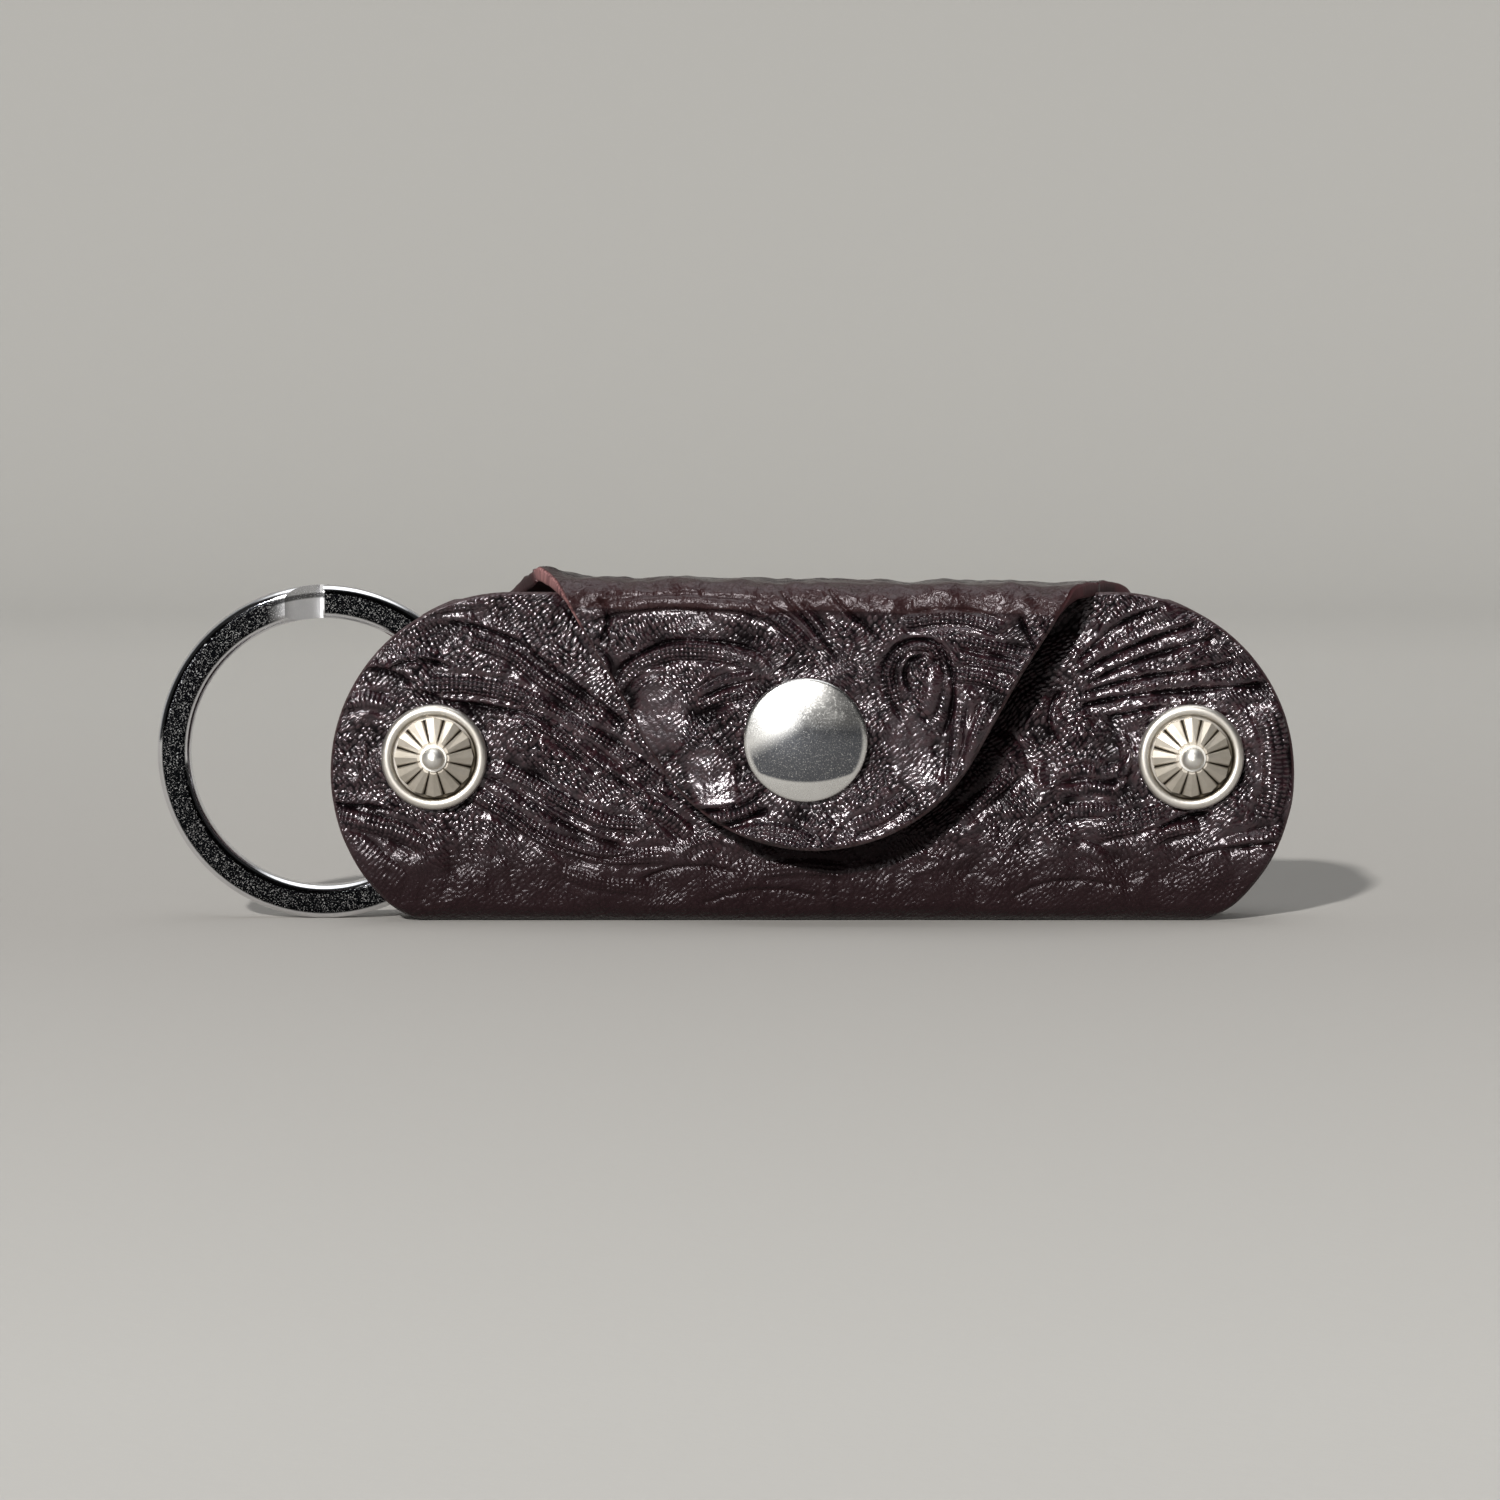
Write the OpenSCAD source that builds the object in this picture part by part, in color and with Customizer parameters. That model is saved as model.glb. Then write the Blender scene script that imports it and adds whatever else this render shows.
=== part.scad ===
// Leather key case with a snap flap, two concho screw posts and a split key ring.
// It stands on its bottom fold: +X is right in the front view, +Y is the back, +Z is up.
// The origin is the centre of the flat underside of the fold.

/* [Case leather] */
// Thickness of the leather
leather_t = 1.4; // [1:0.1:1.8]
// Length of the case, from one rounded end to the other
case_length = 97.4; // [90:0.2:110]
// Height of the front and back panels
panel_h = 33.4; // [31:0.1:36]
// Radius of the rounded ends
end_r = 18.3; // [16.5:0.1:19]
// Free space between the panels, where the keys lie
pocket_w = 7; // [6:0.1:9]
// Inner radius of the two creases of the bottom fold
crease_r = 0.5; // [0.3:0.1:0.8]
// Length of the bottom fold, whose ends are cut square
fold_length = 82.4; // [80:0.1:83]

/* [Flap] */
// Free space between the panels' top edges and the flap
flap_lift = 0.3; // [0.2:0.1:2]
// Outer radius of the flap's bend over the back panel
back_bend_r = 4.2; // [3.5:0.1:5]
// Outer radius of the flap's bend over the front panel
front_bend_r = 3; // [2.7:0.1:3.2]
// Free space between the flap and the front panel, at the snap
flap_gap = 3; // [2.9:0.05:3.3]
// Turn of the flap, which lifts its right edge off the panel
flap_yaw = 4; // [2:0.5:4.5]
// Lean of the flap's sloping edges from upright
flap_taper = 28.8; // [20:0.2:32]
// Radius of the flap's rounded tip
tip_r = 18.6; // [16:0.1:20]
// Height of the flap's tip above the floor
tip_z = 7.7; // [6:0.1:9]

/* [Snap fastener] */
// Place of the snap along the case, from its middle
snap_x = -0.5; // [-1:0.1:1]
// Height of the snap's centre above the floor
snap_z = 18.8; // [17:0.1:20]
// Radius of the domed cap
cap_r = 6.25; // [5.8:0.05:7]
// Height of the cap's rolled rim
cap_rim_h = 1.2; // [1:0.05:1.3]
// Height of the whole cap
cap_h = 1.65; // [1.55:0.05:2.2]
// Thickness of the sheet metal of the cap and the rivets
cap_sheet_t = 0.4; // [0.3:0.02:0.45]
// Radius of the cap's rivet shank
cap_shank_r = 1.6; // [1.4:0.05:1.8]
// Radius of the socket
socket_r = 4.8; // [4.6:0.05:5.2]
// Height of the socket
socket_h = 2.1; // [2:0.05:2.2]
// Thickness of the socket's plate, wall lip and floor
socket_plate_t = 0.5; // [0.4:0.02:0.55]
// Radius of the stud's head
stud_head_r = 2.6; // [2.4:0.05:2.7]
// Rounding of the stud's head
stud_round_r = 0.4; // [0.3:0.02:0.45]
// Radius of the stud's flange
stud_flange_r = 4.4; // [4:0.1:4.6]
// Thickness of the stud's flange
stud_flange_t = 0.4; // [0.3:0.02:0.45]
// Radius of the wire of the socket's spring
spring_wire_r = 0.3; // [0.2:0.02:0.32]
// Sweep of the spring, which is open at one side
spring_sweep = 300; // [270:5:320]
// Radius of the inner rivet's shank
rivet_shank_r = 1.4; // [1.2:0.05:1.5]
// Radius of the inner rivet's flat head
rivet_head_r = 3.8; // [3.2:0.1:4.2]

/* [Concho posts] */
// Distance of each post from its end of the case
post_inset = 10.5; // [10:0.1:12.5]
// Height of the posts above the floor
post_z = 16.8; // [15.5:0.1:16.9]
// Outer radius of the concho's bezel
concho_r = 5.35; // [4.8:0.05:6]
// Radius of the bezel's round rim
bezel_tube_r = 0.6; // [0.5:0.02:0.62]
// Thickness of the concho's floor
concho_floor_t = 0.5; // [0.4:0.05:0.6]
// Number of rays of the sunburst, each with a ridge and a groove
burst_rays = 12; // [10:1:16]
// Outer radius of the sunburst, at its ridges
burst_r = 4; // [3.7:0.05:4]
// Outer radius of the sunburst's flat crown
crown_r = 1.65; // [1.55:0.05:1.8]
// Height of the sunburst's crown, above the concho's floor
burst_h = 1.6; // [1.2:0.05:2]
// Height of the sunburst's ridges at its edge, above the concho's floor
ridge_edge_h = 0.6; // [0.55:0.05:0.7]
// Fall of the facets at the edge, from a ridge to the groove's lip
facet_fall = 0.1; // [0.05:0.01:0.15]
// Depth of the grooves between the rays, at the edge
groove_depth = 0.35; // [0.2:0.01:0.4]
// Share of a ray's angle that its groove takes
groove_share = 0.26; // [0.1:0.02:0.4]
// Radius of the small ball at the middle
ball_r = 1.15; // [1:0.01:1.25]
// Radius of the ball's pin
ball_pin_r = 0.5; // [0.4:0.02:0.6]
// Radius of the collar under the ball
collar_r = 1.35; // [1.28:0.01:1.45]
// Height of the collar
collar_h = 0.25; // [0.2:0.01:0.3]
// Radius of the concho's screw
screw_r = 1.15; // [0.9:0.05:1.2]
// Length of the concho's screw
screw_length = 6.4; // [5:0.1:7]
// Outer radius of the barrel nut
barrel_r = 1.6; // [1.5:0.05:1.7]
// Radius of the barrel nut's head
barrel_head_r = 4.2; // [3.8:0.1:4.6]
// Height of the barrel nut's head at its middle
barrel_head_h = 1; // [0.9:0.05:1.3]
// Height of the barrel nut's head at its edge
barrel_edge_h = 0.45; // [0.4:0.02:0.5]
// Width of the coin slot in the barrel nut's head
slot_w = 1; // [0.8:0.05:1.2]
// Depth of the coin slot
slot_depth = 0.5; // [0.3:0.05:0.6]
// Thickness of the wall of the spacer sleeve
sleeve_wall_t = 0.45; // [0.4:0.05:0.6]

/* [Key ring] */
// Outer diameter of the split ring
ring_od = 34; // [33.6:0.1:34.4]
// Width of the ring's flat wire
ring_band_w = 3.4; // [3:0.1:3.5]
// Thickness of the ring's two turns together
ring_t = 2.45; // [2:0.05:3]
// Rounding of the ring's outer and inner edges
ring_round_r = 0.9; // [0.6:0.05:0.95]
// Gap between the ring's two turns
turn_gap = 0.05; // [0.04:0.01:0.1]
// Angle over which the wire crosses from the front turn to the back one
crossing_angle = 17; // [15:0.5:22]

/* [Clearances] */
// Radial clearance of a part that turns on another
turn_clearance = 0.05; // [0.03:0.01:0.08]
// Radial clearance of a rivet or post in its hole in the leather
hole_clearance = 0.1; // [0.05:0.01:0.2]
// Clearance at the ends of the sleeves and of the barrel nuts
end_clearance = 0.1; // [0.05:0.01:0.2]
// Gap at the flap's two parting planes
seam_gap = 0.04; // [0.02:0.01:0.06]

/* [Hidden] */
$fn = 96;

// One overrun serves every cut
overrun = leather_t;

leather_colour = "#3b1f2a";
silver_colour = "#c9c6bd";
steel_colour = "#b7b9bd";

// Places of the panels: the front one faces -Y
pocket_half = pocket_w / 2;
depth_half = pocket_half + leather_t;
length_half = case_length / 2;
post_x = length_half - post_inset;
end_x = length_half - end_r;
end_z = panel_h - end_r;
outer_crease_r = crease_r + leather_t;

// Places along the flap. Its bends are quarter turns, each parted at its middle.
flap_top_z = panel_h + flap_lift + leather_t;
bend_part_angle = 45;
back_bend_y = depth_half - back_bend_r;
back_bend_z = flap_top_z - back_bend_r;
flap_outer_y = -depth_half - flap_gap - leather_t;
front_bend_y = flap_outer_y + front_bend_r;
front_bend_z = flap_top_z - front_bend_r;
turn_y = -depth_half - flap_gap / 2;
tip_centre_z = tip_z + tip_r;
tangent_z = tip_centre_z - tip_r * sin(flap_taper);

// Half the flap's width: at a height in front, at each parting and at its root.
// A parting lies on the bend's outer face, in plan at the bend's reach from its centre.
function flap_half(z) = tip_r / cos(flap_taper) + (z - tip_centre_z) * tan(flap_taper);
front_reach = front_bend_r * cos(bend_part_angle);
back_reach = back_bend_r * cos(bend_part_angle);
front_half = flap_half(front_bend_z + front_reach);
bridge_length = back_bend_y + back_reach - front_bend_y + front_reach;
back_half = front_half + bridge_length * tan(flap_taper);
neck_half = back_half + back_reach * tan(flap_taper);

// A plan point of the flap, turned about the snap as the flap is
function turned(p) = [
    snap_x + (p.x - snap_x) * cos(flap_yaw) + (p.y - turn_y) * sin(flap_yaw),
    turn_y - (p.x - snap_x) * sin(flap_yaw) + (p.y - turn_y) * cos(flap_yaw)
];

// Snap, measured from the flap's inner face towards the front panel
mouth_r = stud_head_r + stud_round_r;
head_depth = socket_h - socket_plate_t;
cavity_r = socket_r - socket_plate_t - stud_round_r;
neck_r = stud_head_r - stud_round_r;
stud_bore_depth = head_depth + stud_round_r / 2;
flare_r = cap_shank_r + leather_t / 2;
flare_t = cap_sheet_t * 3 / 4;
cap_round_r = cap_rim_h / 2;
cap_rise = cap_h - cap_rim_h;
cap_chord_r = cap_r - cap_round_r;
cap_sphere_r = (cap_chord_r * cap_chord_r + cap_rise * cap_rise) / (2 * cap_rise);
cap_seat_h = cap_rim_h / 2;
cap_mouth_r = cap_r - 3 * cap_sheet_t;
cap_plate_r = cap_mouth_r + cap_sheet_t;

// Posts
bezel_centre_r = concho_r - bezel_tube_r;
ray_angle = 360 / burst_rays;
// Places round a ray, as shares of its angle: its ridge, a lip of its groove, the bottom, the other lip
ray_shares = [0, (1 - groove_share) / 2, 1 / 2, (1 + groove_share) / 2];
bore_r = screw_r + turn_clearance;
sleeve_bore_r = barrel_r + turn_clearance;
sleeve_r = sleeve_bore_r + sleeve_wall_t;
post_hole_r = barrel_r + hole_clearance;
barrel_front_y = -depth_half + 2 * end_clearance;
bore_end_y = screw_length - depth_half + 5 * end_clearance;
head_rise = barrel_head_h - barrel_edge_h;
head_sphere_r = (barrel_head_r * barrel_head_r + head_rise * head_rise) / (2 * head_rise);

// Ring: its inner edge hangs on the left sleeve and its outer edge rests on the floor
ring_r = ring_od / 2;
ring_inner_r = ring_r - ring_band_w;
ring_reach = ring_inner_r - sleeve_r - turn_clearance;
ring_z = ring_r;
ring_x = -post_x - sqrt(ring_reach * ring_reach - (ring_z - post_z) * (ring_z - post_z));
turn_t = (ring_t - turn_gap) / 2;
// The crossing starts and ends at these shares of its own width
crossing_start_share = 0.1;
crossing_end_share = 0.98;
// Angle by which the crossing runs into each turn
weld_angle = 1;

// Extrudes an outline drawn in Y and Z along the whole case
module along_x() {
    rotate([90, 0, 90])
        linear_extrude(2 * case_length, center = true)
            children();
}

// Extrudes an outline drawn in X and Z through the whole depth
module along_y() {
    rotate([90, 0, 0])
        linear_extrude(2 * case_length, center = true)
            children();
}

// Revolves a profile about the Y axis: its height points out of the front
module front_turned() {
    rotate([90, 0, 0])
        rotate_extrude()
            children();
}

// Turns the flap's front half about the snap, which lifts the right edge
module in_flap_turn() {
    translate([snap_x, turn_y, 0])
        rotate([0, 0, -flap_yaw])
            translate([-snap_x, -turn_y, 0])
                children();
}

// A bar of the profile from one height to another, from the axis out to a radius
module bar(r, low, high) {
    translate([0, low])
        square([r, high - low]);
}

// A square-topped section with rounded bottom corners
module trough(half, bottom, top, corner) {
    translate([-half, bottom + corner])
        square([2 * half, top - bottom - corner]);
    translate([-half + corner, bottom])
        square([2 * (half - corner), corner]);
    for (side = [-1, 1])
        translate([side * (half - corner), bottom + corner])
            circle(corner);
}

// A bent strip of leather between two angles, measured from straight back
module bend(outer_r, from_angle, to_angle) {
    mid_angle = (from_angle + to_angle) / 2;
    intersection() {
        difference() {
            circle(outer_r);
            circle(outer_r - leather_t);
        }
        polygon([
            [0, 0],
            2 * outer_r * [cos(from_angle), sin(from_angle)],
            2 * outer_r * [cos(mid_angle), sin(mid_angle)],
            2 * outer_r * [cos(to_angle), sin(to_angle)]
        ]);
    }
}

// Outline of a panel: two round ends and a straight middle
module panel_outline() {
    translate([-end_x, end_z - end_r])
        square([2 * end_x, 2 * end_r]);
    for (side = [-1, 1])
        translate([side * end_x, end_z])
            circle(end_r);
}

// Outline of the flap's neck, where it leaves the back panel
module neck_outline() {
    part_z = back_bend_z + back_reach;
    top_half = back_half - (flap_top_z - part_z) * tan(flap_taper);
    polygon([
        [-neck_half, back_bend_z], [neck_half, back_bend_z],
        [top_half, flap_top_z], [-top_half, flap_top_z]
    ]);
}

// Outline of the flap's top from above, which widens towards the back
module bridge_outline() {
    front = turned([front_half, front_bend_y - front_reach]);
    front_left = turned([-front_half, front_bend_y - front_reach]);
    back_y = back_bend_y + back_reach;
    polygon([
        [-back_half, back_y], front_left,
        [front_left.x, front_left.y - overrun], [front.x, front.y - overrun],
        front, [back_half, back_y], [back_half, back_y + overrun], [-back_half, back_y + overrun]
    ]);
}

// Outline of the flap in front: a round tip with sloping edges that run on from it
module tongue_outline() {
    intersection() {
        translate([0, tip_centre_z])
            circle(tip_r);
        translate([-tip_r, tip_z])
            square([2 * tip_r, tip_r]);
    }
    polygon([
        [-flap_half(tangent_z), tangent_z], [flap_half(tangent_z), tangent_z],
        [flap_half(flap_top_z), flap_top_z], [-flap_half(flap_top_z), flap_top_z]
    ]);
}

// Lower half of the back bend, which grows out of the back panel
module bend_root() {
    intersection() {
        along_x()
            translate([back_bend_y, back_bend_z])
                bend(back_bend_r, 0, bend_part_angle);
        along_y()
            neck_outline();
    }
}

// Angle that the seam's gap takes up at a bend's outer radius
function gap_angle(outer_r) = seam_gap / outer_r * 180 / PI;

// A block whose upper corner is rounded about the origin, and which runs on towards -Y
module rounded_block(r) {
    translate([-case_length, -panel_h])
        square([case_length, panel_h + r]);
    translate([-case_length, -panel_h])
        square([case_length + r, panel_h]);
    circle(r);
}

// Everything on the upper side of a line through the origin
module above_line(angle) {
    direction = 2 * case_length * [cos(angle), sin(angle)];
    upward = 2 * case_length * [-sin(angle), cos(angle)];
    polygon([direction, direction + upward, upward - direction, -direction]);
}

// Places an outline at the centre of the back bend, along the case
module at_back_bend() {
    along_x()
        translate([back_bend_y, back_bend_z])
            children();
}

// Places an outline at the centre of the front bend, mirrored and turned with the flap
module at_front_bend() {
    in_flap_turn()
        along_x()
            translate([front_bend_y, front_bend_z])
                mirror([1, 0])
                    children();
}

// One strip of leather: front panel, bottom fold, back panel and the root of the flap
module case_body() {
    color(leather_colour)
    difference() {
        union() {
            intersection() {
                along_x()
                    difference() {
                        trough(depth_half, 0, panel_h, outer_crease_r);
                        trough(pocket_half, leather_t, panel_h + overrun, crease_r);
                    }
                along_y()
                    panel_outline();
                along_y()
                    union() {
                        translate([-fold_length / 2, 0])
                            square([fold_length, panel_h]);
                        translate([-length_half, leather_t])
                            square([case_length, panel_h]);
                    }
                union() {
                    translate([-length_half, -depth_half, 0])
                        cube([case_length, depth_half + pocket_half, panel_h]);
                    along_y()
                        difference() {
                            translate([-length_half, 0])
                                square([case_length, panel_h]);
                            neck_outline();
                        }
                }
            }
            bend_root();
        }
        for (side = [-1, 1])
            translate([side * post_x, 0, post_z])
                rotate([90, 0, 0])
                    cylinder(h = 4 * depth_half, r = post_hole_r, center = true);
        translate([snap_x, -pocket_half + overrun, snap_z])
            rotate([90, 0, 0])
                cylinder(h = leather_t + 2 * overrun, r = rivet_shank_r + hole_clearance);
    }
}

// Middle of the flap, from the back bend's middle over the top to the front bend's middle
module flap_bridge() {
    color(leather_colour)
    difference() {
        intersection() {
            at_back_bend()
                rounded_block(back_bend_r);
            at_back_bend()
                above_line(bend_part_angle + gap_angle(back_bend_r));
            at_front_bend()
                rounded_block(front_bend_r);
            at_front_bend()
                above_line(bend_part_angle + gap_angle(front_bend_r));
            linear_extrude(flap_top_z + overrun)
                bridge_outline();
        }
        intersection() {
            at_back_bend()
                rounded_block(back_bend_r - leather_t);
            at_front_bend()
                rounded_block(front_bend_r - leather_t);
        }
    }
}

// Front of the flap, from the front bend's middle to the rounded tip
module flap_tongue() {
    color(leather_colour)
    in_flap_turn()
        difference() {
            intersection() {
                along_x() {
                    translate([front_bend_y, front_bend_z])
                        bend(front_bend_r, 90 + bend_part_angle, 180);
                    translate([flap_outer_y, 0])
                        square([leather_t, front_bend_z]);
                }
                along_y()
                    tongue_outline();
            }
            translate([snap_x, flap_outer_y + leather_t + overrun, snap_z])
                rotate([90, 0, 0])
                    cylinder(h = leather_t + 2 * overrun, r = cap_shank_r + hole_clearance);
        }
}

// Places a piece on the flap's outer face, at the snap
module at_cap() {
    in_flap_turn()
        translate([snap_x, flap_outer_y, snap_z])
            children();
}

// Places a piece on the flap's inner face, at the snap, with its height towards the panel
module at_socket() {
    in_flap_turn()
        translate([snap_x, flap_outer_y + leather_t, snap_z])
            mirror([0, 1, 0])
                children();
}

// Profile of the dome down to a level, with the sheet's thickness taken off all round
module dome_profile(inset, low) {
    intersection() {
        translate([0, cap_h - cap_sphere_r])
            circle(cap_sphere_r - inset);
        bar(cap_chord_r - inset, low, cap_h);
    }
}

// Domed cap with a rolled rim, crimped round the plate of its rivet
module snap_cap() {
    color(silver_colour)
    at_cap()
        front_turned()
            difference() {
                union() {
                    dome_profile(0, cap_round_r);
                    bar(cap_chord_r, 0, cap_rim_h);
                    translate([cap_chord_r, cap_round_r])
                        intersection() {
                            circle(cap_round_r);
                            translate([0, -cap_round_r])
                                square([cap_round_r, cap_rim_h]);
                        }
                }
                bar(cap_mouth_r, -overrun, cap_seat_h);
                bar(cap_plate_r + turn_clearance, cap_seat_h, cap_seat_h + cap_sheet_t);
                dome_profile(cap_sheet_t, cap_seat_h + cap_sheet_t);
            }
}

// Rivet of the cap: a plate inside the dome and a shank flared over the socket's floor
module snap_cap_rivet() {
    color(steel_colour)
    at_cap()
        front_turned() {
            bar(cap_plate_r, cap_seat_h, cap_seat_h + cap_sheet_t);
            bar(cap_shank_r, -leather_t - socket_plate_t - flare_t, cap_seat_h);
            bar(flare_r, -leather_t - socket_plate_t - flare_t, -leather_t - socket_plate_t);
        }
}

// Female half of the snap: a floor, a wall and a lip round the mouth
module snap_socket() {
    color(steel_colour)
    at_socket()
        front_turned()
            difference() {
                bar(socket_r, 0, socket_h);
                bar(cap_shank_r + turn_clearance, -overrun, socket_plate_t);
                bar(cavity_r, socket_plate_t, head_depth);
                bar(mouth_r, socket_plate_t, socket_h + overrun);
            }
}

// Wire ring under the socket's lip, spread open round the stud's head
module snap_spring() {
    color(steel_colour)
    at_socket()
        rotate([90, 0, 0])
            rotate_extrude(angle = spring_sweep)
                translate([cavity_r - spring_wire_r, head_depth - spring_wire_r])
                    circle(spring_wire_r, $fn = 48);
}

// Places a piece on the front panel's face, at the snap
module at_stud() {
    translate([snap_x, -depth_half, snap_z])
        children();
}

// Male half of the snap: a flange, a neck and a rounded head
module snap_stud() {
    head_h = flap_gap - head_depth;
    color(steel_colour)
    at_stud()
        front_turned()
            difference() {
                union() {
                    bar(stud_flange_r, 0, stud_flange_t);
                    bar(neck_r, 0, head_h + stud_round_r);
                    translate([neck_r, head_h])
                        intersection() {
                            circle(stud_round_r);
                            translate([0, -stud_round_r])
                                square([stud_round_r, 2 * stud_round_r]);
                        }
                }
                bar(rivet_shank_r + turn_clearance, -overrun, flap_gap - stud_bore_depth);
            }
}

// Rivet of the stud: a flat head inside the pocket and a shank up into the stud
module snap_stud_rivet() {
    color(steel_colour)
    at_stud()
        front_turned() {
            bar(rivet_head_r, -leather_t - cap_sheet_t, -leather_t);
            bar(rivet_shank_r, -leather_t, flap_gap - stud_bore_depth - turn_clearance);
        }
}

// Places a piece on the front panel at one post: side is -1 for the left, 1 for the right
module at_post(side) {
    translate([side * post_x, -depth_half, post_z])
        children();
}

// Concho cup: a floor with a thick rounded bezel
module concho_cup(side) {
    color(silver_colour)
    at_post(side)
        front_turned()
            difference() {
                union() {
                    bar(bezel_centre_r, 0, concho_floor_t);
                    translate([bezel_centre_r, bezel_tube_r])
                        circle(bezel_tube_r);
                }
                bar(ball_pin_r + turn_clearance, -overrun, concho_floor_t + overrun);
            }
}

// One ring of points of the sunburst, straight from ridge to ridge
function burst_points(r, h, lip_fall, groove_fall) = [
    for (i = [0 : burst_rays - 1], k = [0 : len(ray_shares) - 1])
        let (
            angle = (i + ray_shares[k]) * ray_angle,
            reach = r * cos(ray_angle / 2) / cos((ray_shares[k] - 1 / 2) * ray_angle),
            fall = [0, lip_fall, groove_fall, lip_fall][k]
        )
        [reach * cos(angle), reach * sin(angle), h - fall]
];

// Triangles between two rings of the sunburst
function burst_faces(low, high, count) = [
    for (i = [0 : count - 1])
        let (j = (i + 1) % count)
        each [
            [low * count + i, high * count + i, low * count + j],
            [low * count + j, high * count + i, high * count + j]
        ]
];

// Cone of rays with a ridge and a groove each, and a hole for the ball's pin
module concho_sunburst(side) {
    hole_r = (ball_pin_r + turn_clearance) / cos(ray_angle / 2);
    low = concho_floor_t;
    count = len(ray_shares) * burst_rays;
    points = concat(
        burst_points(hole_r, low, 0, 0),
        burst_points(burst_r, low, 0, 0),
        burst_points(burst_r, low + ridge_edge_h, facet_fall, facet_fall + groove_depth),
        burst_points(crown_r, low + burst_h, 0, groove_depth / 2),
        burst_points(collar_r, low + burst_h, 0, 0),
        burst_points(hole_r, low + burst_h, 0, 0)
    );
    color(silver_colour)
    at_post(side)
        rotate([90, 0, 0])
            polyhedron(points, concat(
                burst_faces(0, 1, count), burst_faces(1, 2, count), burst_faces(2, 3, count),
                burst_faces(3, 4, count), burst_faces(4, 5, count), burst_faces(5, 0, count)
            ));
}

// Ball on a collar, whose pin holds the sunburst in its cup
module concho_ball(side) {
    crown_h = concho_floor_t + burst_h;
    ball_h = crown_h + collar_h;
    color(silver_colour)
    at_post(side)
        front_turned() {
            bar(ball_pin_r, 0, ball_h);
            bar(collar_r, crown_h, crown_h + collar_h);
            intersection() {
                translate([0, ball_h])
                    circle(ball_r);
                bar(ball_r, crown_h, ball_h + ball_r);
            }
        }
}

// Screw behind the concho, which turns in the barrel nut
module concho_screw(side) {
    tip = screw_r / 3;
    color(steel_colour)
    at_post(side)
        front_turned()
            polygon([
                [0, 0], [screw_r, 0], [screw_r, tip - screw_length],
                [screw_r - tip, -screw_length], [0, -screw_length]
            ]);
}

// Barrel nut: a tube through both panels, with a domed head behind and a coin slot
module barrel_nut(side) {
    color(silver_colour)
    translate([side * post_x, 0, post_z])
        difference() {
            rotate([-90, 0, 0])
                rotate_extrude() {
                    bar(barrel_r, barrel_front_y, depth_half);
                    bar(barrel_head_r, depth_half, depth_half + barrel_edge_h);
                    intersection() {
                        translate([0, depth_half + barrel_head_h - head_sphere_r])
                            circle(head_sphere_r);
                        bar(barrel_head_r, depth_half, depth_half + barrel_head_h);
                    }
                }
            translate([0, barrel_front_y - overrun, 0])
                rotate([-90, 0, 0])
                    cylinder(h = bore_end_y - barrel_front_y + overrun, r = bore_r);
            translate([-barrel_head_r - overrun, depth_half + barrel_head_h - slot_depth, -slot_w / 2])
                cube([2 * (barrel_head_r + overrun), slot_depth + overrun, slot_w]);
        }
}

// Sleeve that keeps the panels apart, on which the ring or the keys turn
module spacer_sleeve(side) {
    half_length = pocket_half - end_clearance;
    color(steel_colour)
    translate([side * post_x, 0, post_z])
        front_turned()
            translate([sleeve_bore_r, -half_length])
                square([sleeve_wall_t, 2 * half_length]);
}

// Section of the ring's two turns together
module ring_section() {
    flat_w = ring_band_w / 2 - ring_round_r;
    flat_t = ring_t / 2 - ring_round_r;
    translate([ring_r - ring_band_w / 2, 0]) {
        square([ring_band_w, 2 * flat_t], center = true);
        square([2 * flat_w, ring_t], center = true);
        for (across = [-1, 1], along = [-1, 1])
            translate([across * flat_w, along * flat_t])
                circle(ring_round_r, $fn = 48);
    }
}

// One turn of the ring, the front one at layer 1 and the back one at layer -1
module ring_turn(layer) {
    rotate([90, 0, 0])
        rotate([0, 0, 90 + crossing_angle])
            rotate_extrude(angle = 360 - crossing_angle, $fn = 180)
                intersection() {
                    ring_section();
                    translate([0, layer > 0 ? turn_gap / 2 : -ring_t / 2])
                        square([ring_r, turn_t]);
                }
}

// Stretch at the top where the wire crosses from the front turn to the back one
module ring_crossing() {
    width = ring_inner_r * sin(crossing_angle);
    start_x = -width * crossing_start_share;
    end_x = -width * crossing_end_share;
    far_x = -ring_r * sin(crossing_angle) - ring_band_w;
    intersection() {
        rotate([90, 0, 0])
            rotate([0, 0, 90 - weld_angle])
                rotate_extrude(angle = crossing_angle + 2 * weld_angle, $fn = 180)
                    ring_section();
        linear_extrude(ring_r)
            polygon([
                [ring_band_w, ring_t / 2], [start_x, ring_t / 2],
                [end_x, -turn_gap / 2], [far_x, -turn_gap / 2],
                [far_x, -ring_t / 2], [end_x, -ring_t / 2],
                [start_x, turn_gap / 2], [ring_band_w, turn_gap / 2]
            ]);
    }
}

// Split ring: two turns of flat wire, joined where the wire crosses over
module key_ring() {
    color(steel_colour)
    translate([ring_x, 0, ring_z]) {
        ring_turn(1);
        ring_turn(-1);
        ring_crossing();
    }
}

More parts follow.
